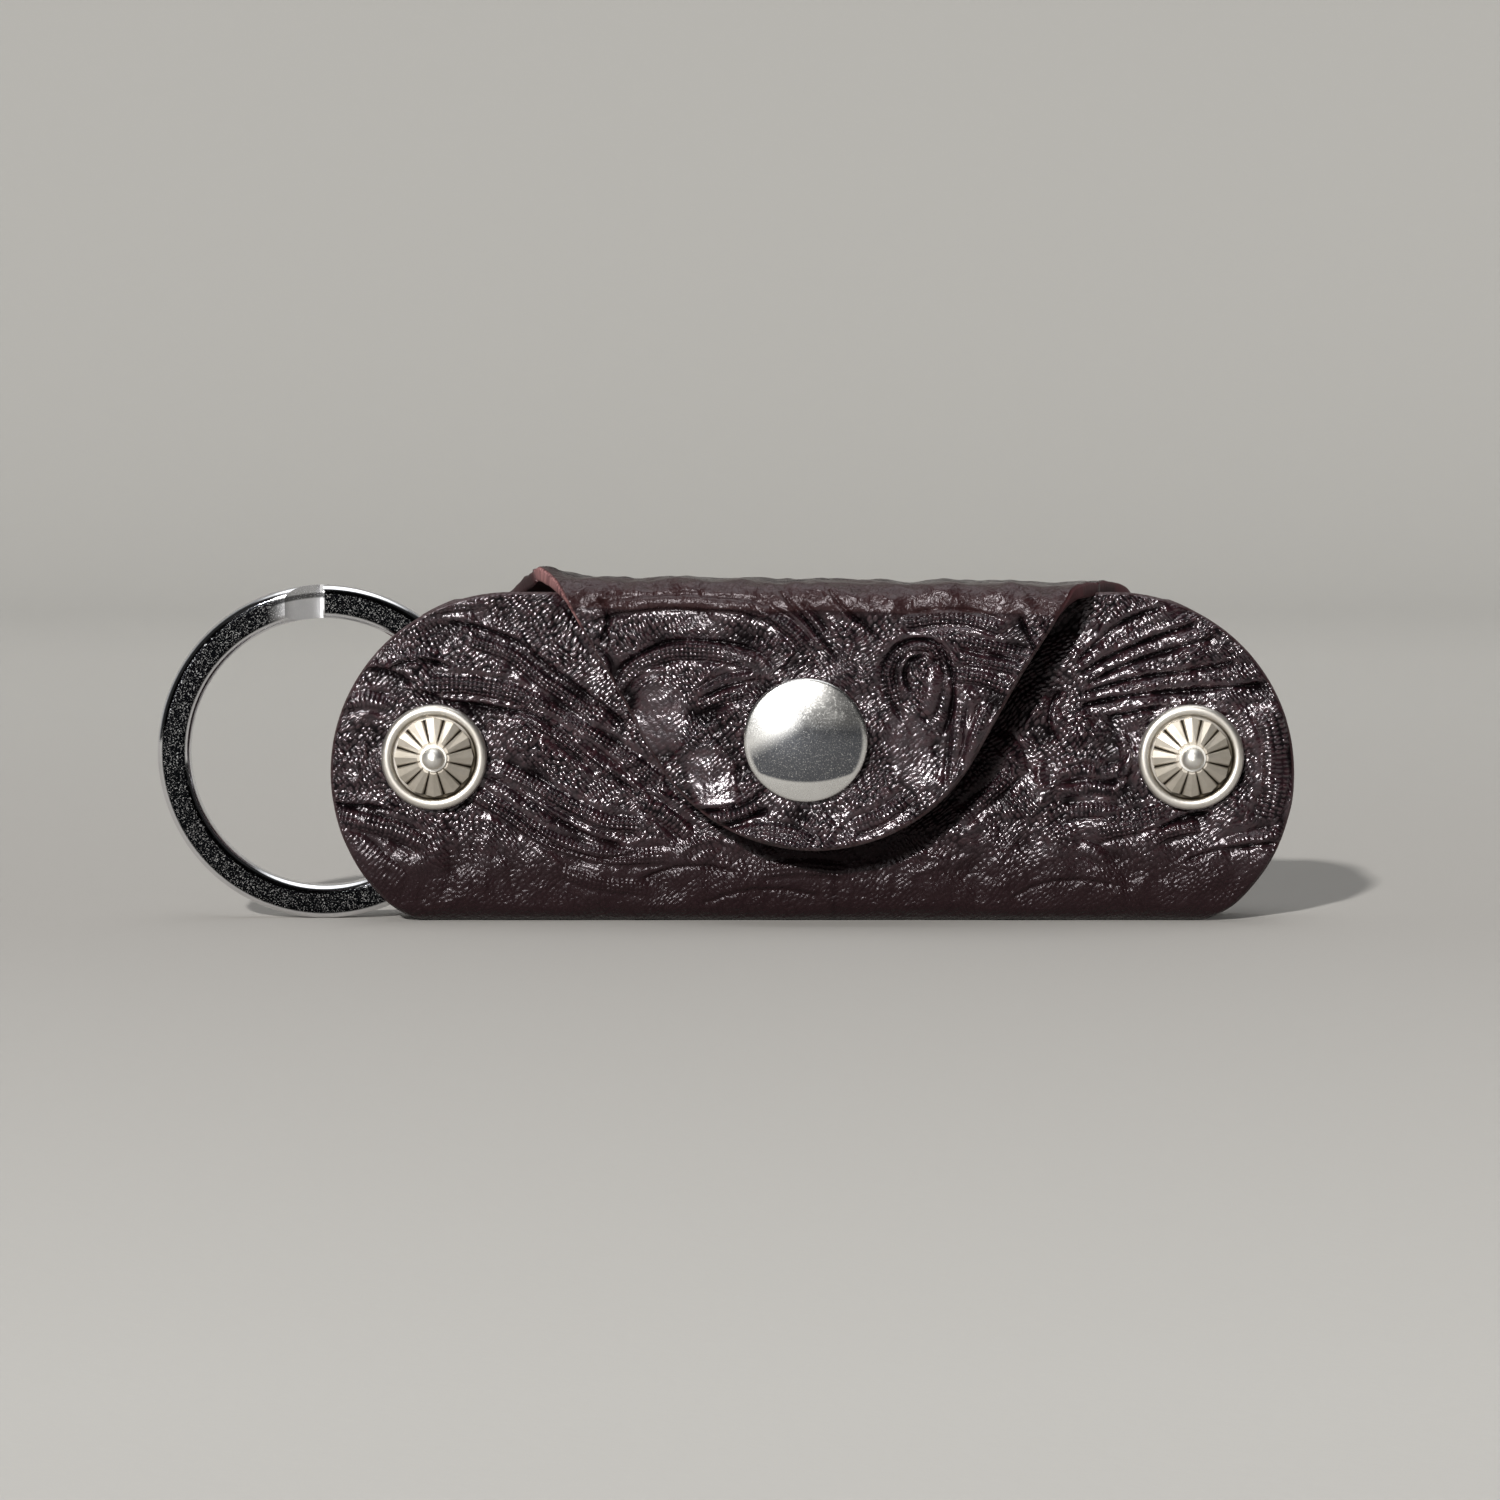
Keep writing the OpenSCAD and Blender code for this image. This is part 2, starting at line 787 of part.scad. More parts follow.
case_body();
flap_bridge();
flap_tongue();
snap_cap();
snap_cap_rivet();
snap_socket();
snap_spring();
snap_stud();
snap_stud_rivet();
concho_cup(-1);  // left_concho_cup
concho_sunburst(-1);  // left_concho_sunburst
concho_ball(-1);  // left_concho_ball
concho_screw(-1);  // left_concho_screw
barrel_nut(-1);  // left_barrel_nut
spacer_sleeve(-1);  // left_spacer_sleeve
concho_cup(1);  // right_concho_cup
concho_sunburst(1);  // right_concho_sunburst
concho_ball(1);  // right_concho_ball
concho_screw(1);  // right_concho_screw
barrel_nut(1);  // right_barrel_nut
spacer_sleeve(1);  // right_spacer_sleeve
key_ring();
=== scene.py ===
import math
from functools import partial, reduce

import bpy
import numpy as np
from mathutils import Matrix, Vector
from mathutils.geometry import delaunay_2d_cdt


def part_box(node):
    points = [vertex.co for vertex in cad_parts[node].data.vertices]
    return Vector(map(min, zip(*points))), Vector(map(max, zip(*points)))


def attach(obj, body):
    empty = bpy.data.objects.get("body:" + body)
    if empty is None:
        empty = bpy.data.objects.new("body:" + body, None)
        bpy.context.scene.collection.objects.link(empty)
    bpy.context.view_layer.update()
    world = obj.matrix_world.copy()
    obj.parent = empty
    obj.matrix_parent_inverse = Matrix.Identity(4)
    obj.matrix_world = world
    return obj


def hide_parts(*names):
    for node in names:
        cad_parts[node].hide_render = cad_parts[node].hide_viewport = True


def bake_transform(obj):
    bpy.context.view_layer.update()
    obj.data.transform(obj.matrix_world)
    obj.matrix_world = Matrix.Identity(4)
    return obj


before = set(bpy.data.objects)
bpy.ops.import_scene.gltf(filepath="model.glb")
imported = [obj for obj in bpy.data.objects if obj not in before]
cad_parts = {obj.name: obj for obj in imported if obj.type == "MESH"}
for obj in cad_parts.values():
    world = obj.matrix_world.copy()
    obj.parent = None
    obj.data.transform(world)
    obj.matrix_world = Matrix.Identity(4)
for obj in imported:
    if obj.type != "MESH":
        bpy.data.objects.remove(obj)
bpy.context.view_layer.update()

# Lengths here are in millimetres, heights above the floor are z, and MM turns them into metres.
MM = 0.001


def box_mm(node):
    """Lowest and highest corner of a node of the frame, in millimetres."""
    return [np.array(corner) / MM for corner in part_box(node)]


def middle_mm(node):
    """Middle of a node's box, in millimetres."""
    low, high = box_mm(node)
    return (low + high) / 2


# Sizes of the leather, worked out from the frame where it shows them
CASE_LOW, CASE_HIGH = box_mm("case_body")
HALF_DEPTH = -CASE_LOW[1]
LEATHER = 1.4
PANEL_TOP = 33.4
END_R = 18.3
END_X = CASE_HIGH[0] - END_R
END_Z = PANEL_TOP - END_R
CREASE_R = 1.9
FLAP_TOP = box_mm("flap_bridge")[1][2]
BACK_BEND_R = 4.2
FRONT_BEND_R = 3.0
BACK_BEND_Y = HALF_DEPTH - BACK_BEND_R
BACK_BEND_Z = FLAP_TOP - BACK_BEND_R
FRONT_BEND_Z = FLAP_TOP - FRONT_BEND_R
FLAP_GAP = 3.0
FLAP_FACE_Y = -HALF_DEPTH - FLAP_GAP - LEATHER
FLAP_YAW_TAN = math.tan(math.radians(4))
TIP_Z = box_mm("flap_tongue")[0][2]
TIP_R = 18.6
TIP_CENTRE_Z = TIP_Z + TIP_R
TAPER = math.radians(28.8)
EDGE_ROUND = 0.32

# Fittings
SNAP = middle_mm("snap_cap")
CAP_R = np.ptp(box_mm("snap_cap"), axis=0)[2] / 2
POSTS = {side: middle_mm(side + "_concho_cup") for side in ("left", "right")}
CONCHO_R = np.ptp(box_mm("left_concho_cup"), axis=0)[0] / 2
BURST_RAYS = 12
RING = middle_mm("key_ring")

# The photograph's frame: a pixel of it meets the front panel's face at a place in millimetres
PIXELS_PER_MM = 9.9
PANEL_PIXEL = np.array([812.5, 923.0])


def on_panel(pixels):
    """Places in X and Z, in millimetres, of pixels of the photograph that lie on the front panel."""
    return (np.array(pixels, float) - PANEL_PIXEL) * [1, -1] / PIXELS_PER_MM


def smooth_step(t):
    """Rises smoothly from 0 to 1 as t does."""
    t = np.clip(t, 0, 1)
    return t * t * (3 - 2 * t)


def bell(offset, width):
    """1 where an offset is 0, falling off smoothly over a width."""
    return np.exp(-(offset / width) ** 2)


def smooth_curve(points, step=0.12):
    """Points along a smooth curve through the given ones, about one step apart."""
    ends = np.vstack([2 * points[0] - points[1], points, 2 * points[-1] - points[-2]])
    pieces = []
    for a, b, c, d in zip(ends, ends[1:], ends[2:], ends[3:]):
        count = max(2, int(np.linalg.norm(c - b) / step))
        t = np.linspace(0, 1, count, endpoint=False)[:, None]
        pieces.append(0.5 * (2 * b + (c - a) * t + (2 * a - 5 * b + 4 * c - d) * t ** 2
                             + (3 * b - a - 3 * c + d) * t ** 3))
    return np.vstack(pieces + [points[-1:]])


class Relief:
    """Height and grain of the embossing over a stretch of leather, on a fine raster."""

    def __init__(self, low, high, seed, step=0.1):
        self.low = np.array(low, float)
        self.step = step
        self.shape = tuple(((np.array(high) - self.low) / step).astype(int)[::-1])
        self.height, self.gloss, self.row_along, self.row_across, self.row_share = np.zeros((5, *self.shape))
        self.grain = np.ones(self.shape)
        self.row_away = np.full(self.shape, np.inf)
        self.random = np.random.default_rng(seed)
        for size, height in ((6.5, 0.16), (2.4, 0.06)):
            self.pebble(size, height)

    def window(self, low, high):
        """Slices of the raster between two corners, and the places of their cells."""
        a = np.clip(((low - self.low) / self.step).astype(int), 0, None)
        b = np.minimum(((high - self.low) / self.step).astype(int) + 1, self.shape[::-1])
        x, z = [self.low[k] + (np.arange(a[k], b[k]) + 0.5) * self.step for k in (0, 1)]
        return (slice(a[1], b[1]), slice(a[0], b[0])), np.stack(np.meshgrid(x, z), -1)

    def along(self, points, reach):
        """Cells near a curve, their distance along it, to its left and from it, and a fade at its ends."""
        curve = smooth_curve(points)
        where, cells = self.window(curve.min(0) - reach, curve.max(0) + reach)
        flat = cells.reshape(-1, 2)
        nearest = np.zeros(len(flat), int)
        best = np.full(len(flat), np.inf)
        for start in range(0, len(curve), 64):
            away = ((flat[:, None, :] - curve[None, start:start + 64]) ** 2).sum(-1)
            closer = away.min(1) < best
            best[closer] = away.min(1)[closer]
            nearest[closer] = away.argmin(1)[closer] + start
        run = np.concatenate([[0], np.cumsum(np.linalg.norm(np.diff(curve, axis=0), axis=1))])
        tangent = np.gradient(curve, axis=0)
        tangent /= np.linalg.norm(tangent, axis=1)[:, None] + 1e-9
        offset = flat - curve[nearest]
        t = tangent[nearest]
        side = t[:, 0] * offset[:, 1] - t[:, 1] * offset[:, 0]
        s = run[nearest] + (offset * t).sum(1)
        fade = smooth_step((s + 0.4) / 1.2) * smooth_step((run[-1] - s + 0.4) / 1.2)
        return where, *(values.reshape(cells.shape[:2]) for values in (s, side, np.sqrt(best), fade))

    def cut(self, points, depth=0.42, width=0.20, bevel=0.30, reach=2.4):
        """A knife cut whose left side stays up and whose right side is bevelled down to it."""
        where, _, side, away, fade = self.along(points, reach)
        raised = np.exp(-np.clip(side, 0, None) / 0.9) * (side > 0)
        sunk = np.exp(side / 0.8) * (side <= 0)
        self.height[where] += (bevel * (raised - sunk) * (away < reach) - depth * bell(away, width)) * fade

    def ridge(self, points, height=0.26, width=0.3, twin=0.0):
        """A rounded rib, or two side by side."""
        where, _, side, away, fade = self.along(points, 4 * width + twin)
        rise = bell(away, width)
        if twin:
            rise = (bell(side - twin, width) + bell(side + twin, width)) * (away < twin + 3 * width)
        self.height[where] += height * rise * fade
        self.gloss[where] += 0.5 * rise * fade

    def band(self, points, half_width, across=0.46, lift=0.27, along=0.47, beads=1.0):
        """A raised band filled with rows of beads, which the material draws from the distances kept here."""
        where, s, side, away, fade = self.along(points, half_width + 1.1)
        near = (away < half_width + 0.4) & (away < self.row_away[where])
        start = self.random.uniform(0, 50)
        share = beads * smooth_step((half_width + 0.1 - away) / 0.25) * fade
        for field, values in ((self.row_along, s / along + start), (self.row_across, side / across + start),
                              (self.row_share, share), (self.row_away, away)):
            field[where][near] = values[near]
        crown = 1 - np.clip(away / half_width, 0, 1) ** 2
        trough = bell(away - half_width - 0.05, 0.22)
        self.height[where] += lift * (crown - 0.8 * trough) * fade
        self.grain[where] *= 1 - 0.6 * bell(away - half_width - 0.4, 0.3) * fade

    def settle_rows(self):
        """Takes the rows away where two bands meet, because the distances jump there."""
        jump = np.zeros(self.shape, bool)
        for field in (self.row_along, self.row_across):
            jump[1:] |= np.abs(np.diff(field, axis=0)) > 0.6
            jump[:, 1:] |= np.abs(np.diff(field, axis=1)) > 0.6
        for dz in range(-3, 4):
            for dx in range(-3, 4):
                self.row_share[np.roll(jump, (dz, dx), (0, 1))] = 0

    def pillow(self, centre, radii, tilt, height, gloss, edge):
        """A smooth oval petal that swells out of the ornament."""
        reach = max(radii) * 1.5
        where, cells = self.window(centre - reach, centre + reach)
        offset = cells - centre
        c, s = math.cos(math.radians(tilt)), math.sin(math.radians(tilt))
        u = (offset[..., 0] * c + offset[..., 1] * s) / radii[0]
        v = (offset[..., 1] * c - offset[..., 0] * s) / radii[1]
        r = (np.abs(u) ** 2.4 + np.abs(v) ** 2.4) ** (1 / 2.4)
        inside = smooth_step((1.08 - r) * 2.6)
        self.height[where] = self.height[where] * (1 - 0.6 * inside) + height * smooth_step(1.15 - r)
        self.height[where] -= edge * bell(r - 1.05, 0.14)
        self.gloss[where] += gloss * inside
        self.grain[where] *= 1 - 0.66 * inside
        self.row_share[where] *= 1 - inside

    def pebble(self, size, height):
        """Irregular bumps of about one size all over."""
        noise = self.random.standard_normal(self.shape)
        fz, fx = [np.fft.fftfreq(count, self.step) for count in self.shape]
        f = np.hypot(fx[None, :], fz[:, None])
        made = np.real(np.fft.ifft2(np.fft.fft2(noise) * bell(f - 1 / size, 0.45 / size)))
        self.height += height * made / made.std()

    def fields(self, x, z):
        """The relief's height at places, and what the material draws from: gloss, grain and the rows of beads."""
        u = np.clip((x - self.low[0]) / self.step - 0.5, 0, self.shape[1] - 1.001)
        v = np.clip((z - self.low[1]) / self.step - 0.5, 0, self.shape[0] - 1.001)
        i, j = u.astype(int), v.astype(int)
        fu, fv = u - i, v - j
        found = {}
        for field in ("height", "gloss", "grain", "row_share", "row_along", "row_across"):
            grid = getattr(self, field)
            found[field] = ((grid[j, i] * (1 - fu) + grid[j, i + 1] * fu) * (1 - fv)
                            + (grid[j + 1, i] * (1 - fu) + grid[j + 1, i + 1] * fu) * fv)
        found["rows"] = np.stack([found.pop("row_along"), found.pop("row_across"), np.zeros(len(x))], -1)
        return found


# Ornament of the front panel: traditional stems, leaves and scrolls, as pixels of the photograph
PANEL_CUTS = [
    [(345, 690), (358, 674), (375, 668), (398, 674), (412, 684)],
    [(450, 621), (485, 628), (520, 642), (553, 668), (590, 695), (625, 722)],
    [(392, 668), (410, 661), (432, 661), (452, 666)],
    [(418, 690), (450, 701), (490, 706), (530, 714), (562, 734), (600, 768), (640, 792)],
    [(486, 776), (505, 784), (530, 800), (560, 820), (590, 836), (622, 846)],
    [(495, 804), (520, 818), (545, 838), (575, 852), (605, 858), (640, 852)],
    [(333, 802), (350, 805), (372, 806), (395, 812)],
    [(1075, 662), (1098, 640), (1125, 620), (1160, 607)],
    [(1078, 674), (1110, 655), (1150, 638), (1196, 622)],
    [(1085, 684), (1125, 664), (1170, 649), (1215, 637)],
    [(1078, 694), (1125, 680), (1180, 671), (1235, 661)],
    [(1082, 704), (1130, 695), (1190, 690), (1263, 683)],
    [(1107, 717), (1135, 711), (1160, 706)],
    [(1062, 690), (1052, 706), (1050, 724), (1058, 740)],
    [(1183, 863), (1210, 852), (1245, 846), (1281, 843)],
    [(1150, 842), (1166, 826), (1186, 816), (1212, 812)],
    [(640, 880), (672, 868), (705, 866), (735, 872)],
    [(700, 905), (740, 892), (785, 890), (820, 897)],
    [(1010, 900), (1040, 885), (1078, 880), (1120, 886)],
]
PANEL_RIDGES = [
    [(383, 670), (396, 661), (415, 656), (440, 657)],
    [(487, 712), (497, 717), (508, 714), (513, 706)],
    [(486, 722), (497, 725), (508, 720)],
    [(508, 746), (522, 748), (532, 739), (528, 728), (514, 727), (505, 736)],
    [(334, 774), (343, 762), (355, 764), (358, 776), (349, 786)],
    [(340, 744), (352, 738), (362, 744), (366, 757)],
    [(679, 853), (698, 843), (716, 841), (736, 846)],
    [(997, 866), (1012, 843), (1030, 818), (1050, 790), (1066, 766), (1080, 740), (1090, 715)],
    [(1048, 792), (1039, 776), (1043, 758)],
    [(1030, 818), (1018, 806), (1016, 790)],
    [(1066, 766), (1085, 759), (1104, 764)],
    [(1050, 790), (1068, 789), (1086, 797)],
    [(1082, 712), (1091, 728), (1099, 748)],
    [(1082, 713), (1075, 730), (1082, 749)],
    [(1018, 734), (1041, 706), (1049, 679)],
    [(1180, 862), (1192, 866), (1205, 862)],
    [(890, 868), (905, 861), (923, 855), (947, 861), (974, 857)],
    [(905, 880), (930, 869), (962, 865)],
    [(594, 775), (618, 768), (643, 759)],
    [(619, 791), (655, 793), (679, 801)],
    [(540, 752), (566, 760), (590, 776)],
]
# Valleys that come up from the fold
PANEL_VALLEYS = [
    [(445, 835), (450, 865), (448, 893)],
    [(472, 838), (477, 870), (473, 900)],
    [(503, 850), (511, 880), (508, 903)],
    [(1120, 868), (1128, 884), (1126, 903)],
]
# Bands of beads: places, half width in millimetres, spacing of the beads across the band
PANEL_BANDS = [
    ([(428, 684), (470, 685), (515, 694), (552, 714), (590, 736), (622, 756), (655, 780)], 1.0, 0.46),
    ([(530, 716), (560, 735), (590, 756), (618, 777)], 0.9, 0.46),
    ([(470, 640), (510, 655), (545, 682), (590, 712)], 0.8, 0.46),
    ([(500, 768), (535, 786), (570, 806), (605, 822), (640, 826)], 0.85, 0.46),
    ([(470, 792), (505, 812), (540, 836), (575, 850), (612, 858), (668, 856)], 0.9, 0.46),
    ([(352, 850), (372, 868), (398, 890)], 1.9, 1.3),
    ([(355, 640), (390, 618), (430, 606), (480, 600)], 1.0, 0.46),
    ([(342, 705), (365, 700), (388, 704)], 0.9, 0.9),
    ([(338, 815), (362, 822), (392, 830), (425, 846)], 1.0, 0.8),
    ([(1088, 655), (1114, 636), (1142, 621), (1172, 611)], 0.8, 1.5),
    ([(1079, 668), (1104, 652), (1145, 634), (1196, 617)], 0.75, 1.5),
    ([(1082, 679), (1117, 661), (1160, 644), (1205, 631)], 0.75, 1.5),
    ([(1081, 689), (1125, 672), (1175, 660), (1225, 650)], 0.8, 1.5),
    ([(1080, 699), (1127, 688), (1185, 680), (1249, 672)], 0.8, 1.5),
    ([(1085, 712), (1135, 703), (1190, 697), (1262, 694)], 0.8, 1.5),
    ([(1262, 706), (1274, 735), (1276, 780), (1268, 822)], 1.4, 0.8),
    ([(1100, 775), (1125, 768), (1140, 750)], 0.9, 0.46),
    ([(1060, 777), (1080, 772), (1096, 774)], 0.7, 1.3),
    ([(1062, 793), (1090, 788), (1118, 792)], 0.7, 1.3),
    ([(1066, 812), (1094, 810), (1122, 815)], 0.8, 1.3),
    ([(1095, 832), (1130, 824), (1165, 814)], 1.2, 0.46),
    ([(1222, 847), (1250, 839), (1278, 834)], 0.75, 0.9),
    ([(1082, 848), (1095, 853), (1110, 862)], 0.8, 1.3),
    ([(1150, 842), (1172, 832), (1200, 826)], 0.8, 0.46),
    ([(1000, 735), (1015, 755), (1020, 775)], 0.9, 1.3),
    ([(1120, 735), (1126, 752), (1124, 775), (1118, 792)], 0.7, 0.46),
    ([(640, 800), (665, 815), (690, 836)], 0.9, 1.2),
    ([(560, 872), (600, 884), (650, 890)], 0.8, 0.46),
    ([(760, 872), (800, 868), (845, 872)], 0.9, 0.46),
    ([(960, 820), (980, 802), (1000, 786), (1014, 770)], 0.9, 0.46),
]

# Ornament of the flap
FLAP_CUTS = [
    [(772, 664), (760, 650), (735, 641), (700, 637), (668, 640), (640, 652), (622, 668), (612, 692)],
    [(836, 656), (822, 636), (806, 616), (791, 598), (780, 584)],
    [(878, 636), (866, 622), (852, 610), (838, 596), (828, 582)],
    [(900, 716), (886, 694), (881, 668), (890, 645), (910, 631), (931, 633), (944, 650), (951, 675),
     (951, 703), (943, 730)],
    [(909, 692), (902, 673), (907, 655), (921, 647)],
    [(1017, 605), (1025, 625), (1032, 642), (1038, 655)],
    [(1036, 606), (1044, 620), (1050, 634)],
    [(600, 640), (606, 622), (606, 606), (598, 592)],
    [(690, 806), (720, 806), (748, 798), (762, 786)],
    [(716, 824), (740, 816), (768, 805)],
]
FLAP_RIDGES = [
    [(660, 776), (676, 757), (694, 738), (712, 722), (740, 709)],
    [(616, 695), (632, 677), (650, 669), (668, 669)],
    [(698, 683), (712, 670), (728, 660), (744, 655)],
    [(812, 849), (826, 836), (839, 821)],
    [(748, 643), (755, 637), (757, 629)],
    [(755, 651), (763, 643), (767, 633)],
    [(763, 657), (773, 648), (779, 637)],
    [(775, 665), (787, 656), (794, 643)],
    [(790, 673), (805, 662), (812, 647)],
    [(758, 603), (775, 611), (790, 622), (803, 640)],
    [(772, 598), (792, 607), (808, 622), (818, 643)],
    [(833, 612), (846, 622), (853, 636), (849, 653)],
    [(824, 608), (836, 620), (842, 636), (838, 652)],
    [(984, 740), (992, 727), (1004, 714)],
    [(604, 618), (611, 628), (611, 642), (604, 654)],
    [(740, 830), (775, 838), (812, 846)],
]
FLAP_BANDS = [
    ([(758, 663), (745, 657), (725, 651), (698, 648), (670, 650), (645, 659), (625, 675), (614, 692)], 0.95, 0.46),
    ([(590, 612), (615, 602), (650, 598), (690, 597), (740, 600), (768, 606)], 0.8, 0.46),
    ([(764, 604), (781, 615), (797, 631), (806, 645)], 0.8, 0.46),
    ([(797, 600), (811, 614), (823, 632)], 0.65, 0.46),
    ([(893, 702), (886, 674), (892, 652), (909, 638), (930, 640), (941, 655)], 0.7, 0.46),
    ([(951, 782), (954, 740), (958, 697)], 0.75, 0.46),
    ([(957, 778), (970, 740), (984, 700)], 0.7, 0.46),
    ([(966, 770), (985, 740), (1000, 715)], 0.55, 0.46),
    ([(949, 672), (975, 674), (1004, 684)], 0.8, 0.46),
    ([(958, 652), (985, 657), (1014, 664)], 0.75, 0.46),
    ([(958, 634), (988, 640), (1022, 648)], 0.75, 0.46),
    ([(900, 612), (935, 608), (970, 610), (1000, 620)], 0.8, 0.46),
    ([(702, 816), (722, 813), (742, 808), (762, 797)], 0.75, 1.3),
    ([(728, 838), (758, 830), (788, 833), (812, 844)], 1.15, 0.4),
    ([(698, 706), (722, 695), (748, 688)], 0.75, 0.46),
    ([(700, 692), (724, 679), (756, 672)], 0.55, 0.46),
    ([(590, 648), (604, 662), (602, 682)], 0.7, 0.9),
    ([(850, 824), (880, 812), (905, 794)], 0.8, 0.8),
]
FLAP_PETALS = [
    ((658, 716), (3.0, 3.9), -18, 0.03, 0.0, 0.10),
    ((712, 776), (2.7, 3.6), 22, 0.02, 0.0, 0.10),
    ((930, 686), (1.0, 2.9), -8, 0.34, 0.8, 0.22),
    ((908, 745), (2.4, 4.6), 16, 0.02, 0.0, 0.05),
]


def panel_relief(seed, mirrored=False):
    """Embossing of a panel: its height is measured on the panel, and runs on below 0 over the fold."""
    relief = Relief((-50, -8), (50, 35), seed)
    flip = [-1, 1] if mirrored else [1, 1]
    # The back panel has no flap over its middle, so the flap's ornament fills it
    for points in PANEL_CUTS + (FLAP_CUTS if mirrored else []):
        relief.cut(on_panel(points) * flip)
    for points in PANEL_VALLEYS:
        relief.ridge(on_panel(points) * flip, -0.2, 0.45)
    for points, half_width, across in PANEL_BANDS + (FLAP_BANDS if mirrored else []):
        fan = across > 1.4
        relief.band(on_panel(points) * flip, half_width, across, 0.10 if fan else 0.27, beads=0.3 if fan else 1.0)
    for points in PANEL_RIDGES + (FLAP_RIDGES if mirrored else []):
        relief.ridge(on_panel(points) * flip)
    relief.settle_rows()
    return relief


def flap_relief(seed):
    """Embossing of the flap: its height is measured down to the tip, and runs on over the top."""
    relief = Relief((-37, 4), (37, 53), seed)
    for spot, *petal in FLAP_PETALS:
        relief.pillow(on_panel(spot), *petal)
    for points in FLAP_CUTS:
        relief.cut(on_panel(points))
    for points, half_width, across in FLAP_BANDS:
        relief.band(on_panel(points), half_width, across)
    for points in FLAP_RIDGES:
        relief.ridge(on_panel(points), twin=0.22 if len(points) > 4 else 0.0, width=0.2)
    relief.settle_rows()
    return relief


# The case's strip: distance along it is measured down the front, under the fold and up the back
SIDE_RUN = PANEL_TOP - CREASE_R
CREASE_RUN = CREASE_R * math.pi / 2
FOLD_RUN = 2 * (HALF_DEPTH - CREASE_R)
BACK_START = SIDE_RUN + 2 * CREASE_RUN + FOLD_RUN
STRIP_RUN = 2 * SIDE_RUN + 2 * CREASE_RUN + FOLD_RUN
HALF_RUN = STRIP_RUN / 2


def strip_height(s):
    """Height on the panel at a distance along the strip: it goes below the crease on the fold."""
    return PANEL_TOP - np.minimum(s, STRIP_RUN - s)


def strip_bend(s):
    """Distance from the nearer end of the strip, the turn made round the crease, and the height above the floor."""
    u = np.minimum(s, STRIP_RUN - s)
    turn = np.clip((u - SIDE_RUN) / CREASE_R, 0, math.pi / 2)
    return u, turn, np.where(u < SIDE_RUN, PANEL_TOP - u, CREASE_R * (1 - np.sin(turn)))


def case_surface(x, s):
    """Place of a point of the strip's outer face, which is slightly wavy."""
    u, turn, z = strip_bend(s)
    front = np.where(s < HALF_RUN, -1.0, 1.0)
    depth = HALF_DEPTH - CREASE_R * (1 - np.cos(turn)) - np.clip(u - SIDE_RUN - CREASE_RUN, 0, None)
    wave = 0.08 * np.sin(x / 9.1 + 0.6 * front) * np.sin(z / 11.0 + 0.4) * smooth_step(z / 12)
    ends = 0.175 * smooth_step((np.abs(x) - 40) / 9) * smooth_step((z - 6) / 10)
    tuck = 0.75 * np.clip((9.5 - z) / 9.5, 0, 1) ** 2 * np.clip(depth / 2, 0, 1)
    return np.stack([x, front * (depth - wave + ends - tuck), z], -1)


def case_half_width(s):
    """Half the strip's width at a distance along it: round ends, and a smooth corner at the fold."""
    z = strip_bend(s)[2]
    return END_X + np.sqrt(np.clip(END_R ** 2 - (z - END_Z) ** 2, 0, None)) - 0.8 * np.clip(1 - z / 1.5, 0, 1) ** 2


# The flap's strip: distance along it is measured from its root on the back panel to the tip
SEAM_Z = 30.4
ROOT_RUN = BACK_BEND_Z - SEAM_Z
BACK_RUN = BACK_BEND_R * math.pi / 2
TOP_RUN = BACK_BEND_Y - (FLAP_FACE_Y + FRONT_BEND_R)
FRONT_RUN = FRONT_BEND_R * math.pi / 2
FRONT_START = ROOT_RUN + BACK_RUN + TOP_RUN + FRONT_RUN
FLAP_RUN = FRONT_START + FRONT_BEND_Z - TIP_Z
TOP_SEAM = ROOT_RUN + BACK_RUN + 0.5 * TOP_RUN


def flap_height(s):
    """Height on the flap's front at a distance along it: it goes on rising over the top."""
    return FRONT_BEND_Z + FRONT_START - s


def flap_half_width(s):
    """Half the flap's width at a distance along it."""
    v = flap_height(s)
    sloping = TIP_R / math.cos(TAPER) + (v - TIP_CENTRE_Z) * math.tan(TAPER)
    rounded = np.sqrt(np.clip(TIP_R ** 2 - (v - TIP_CENTRE_Z) ** 2, 0, None))
    return np.where(v < TIP_CENTRE_Z - TIP_R * math.sin(TAPER), rounded, sloping)


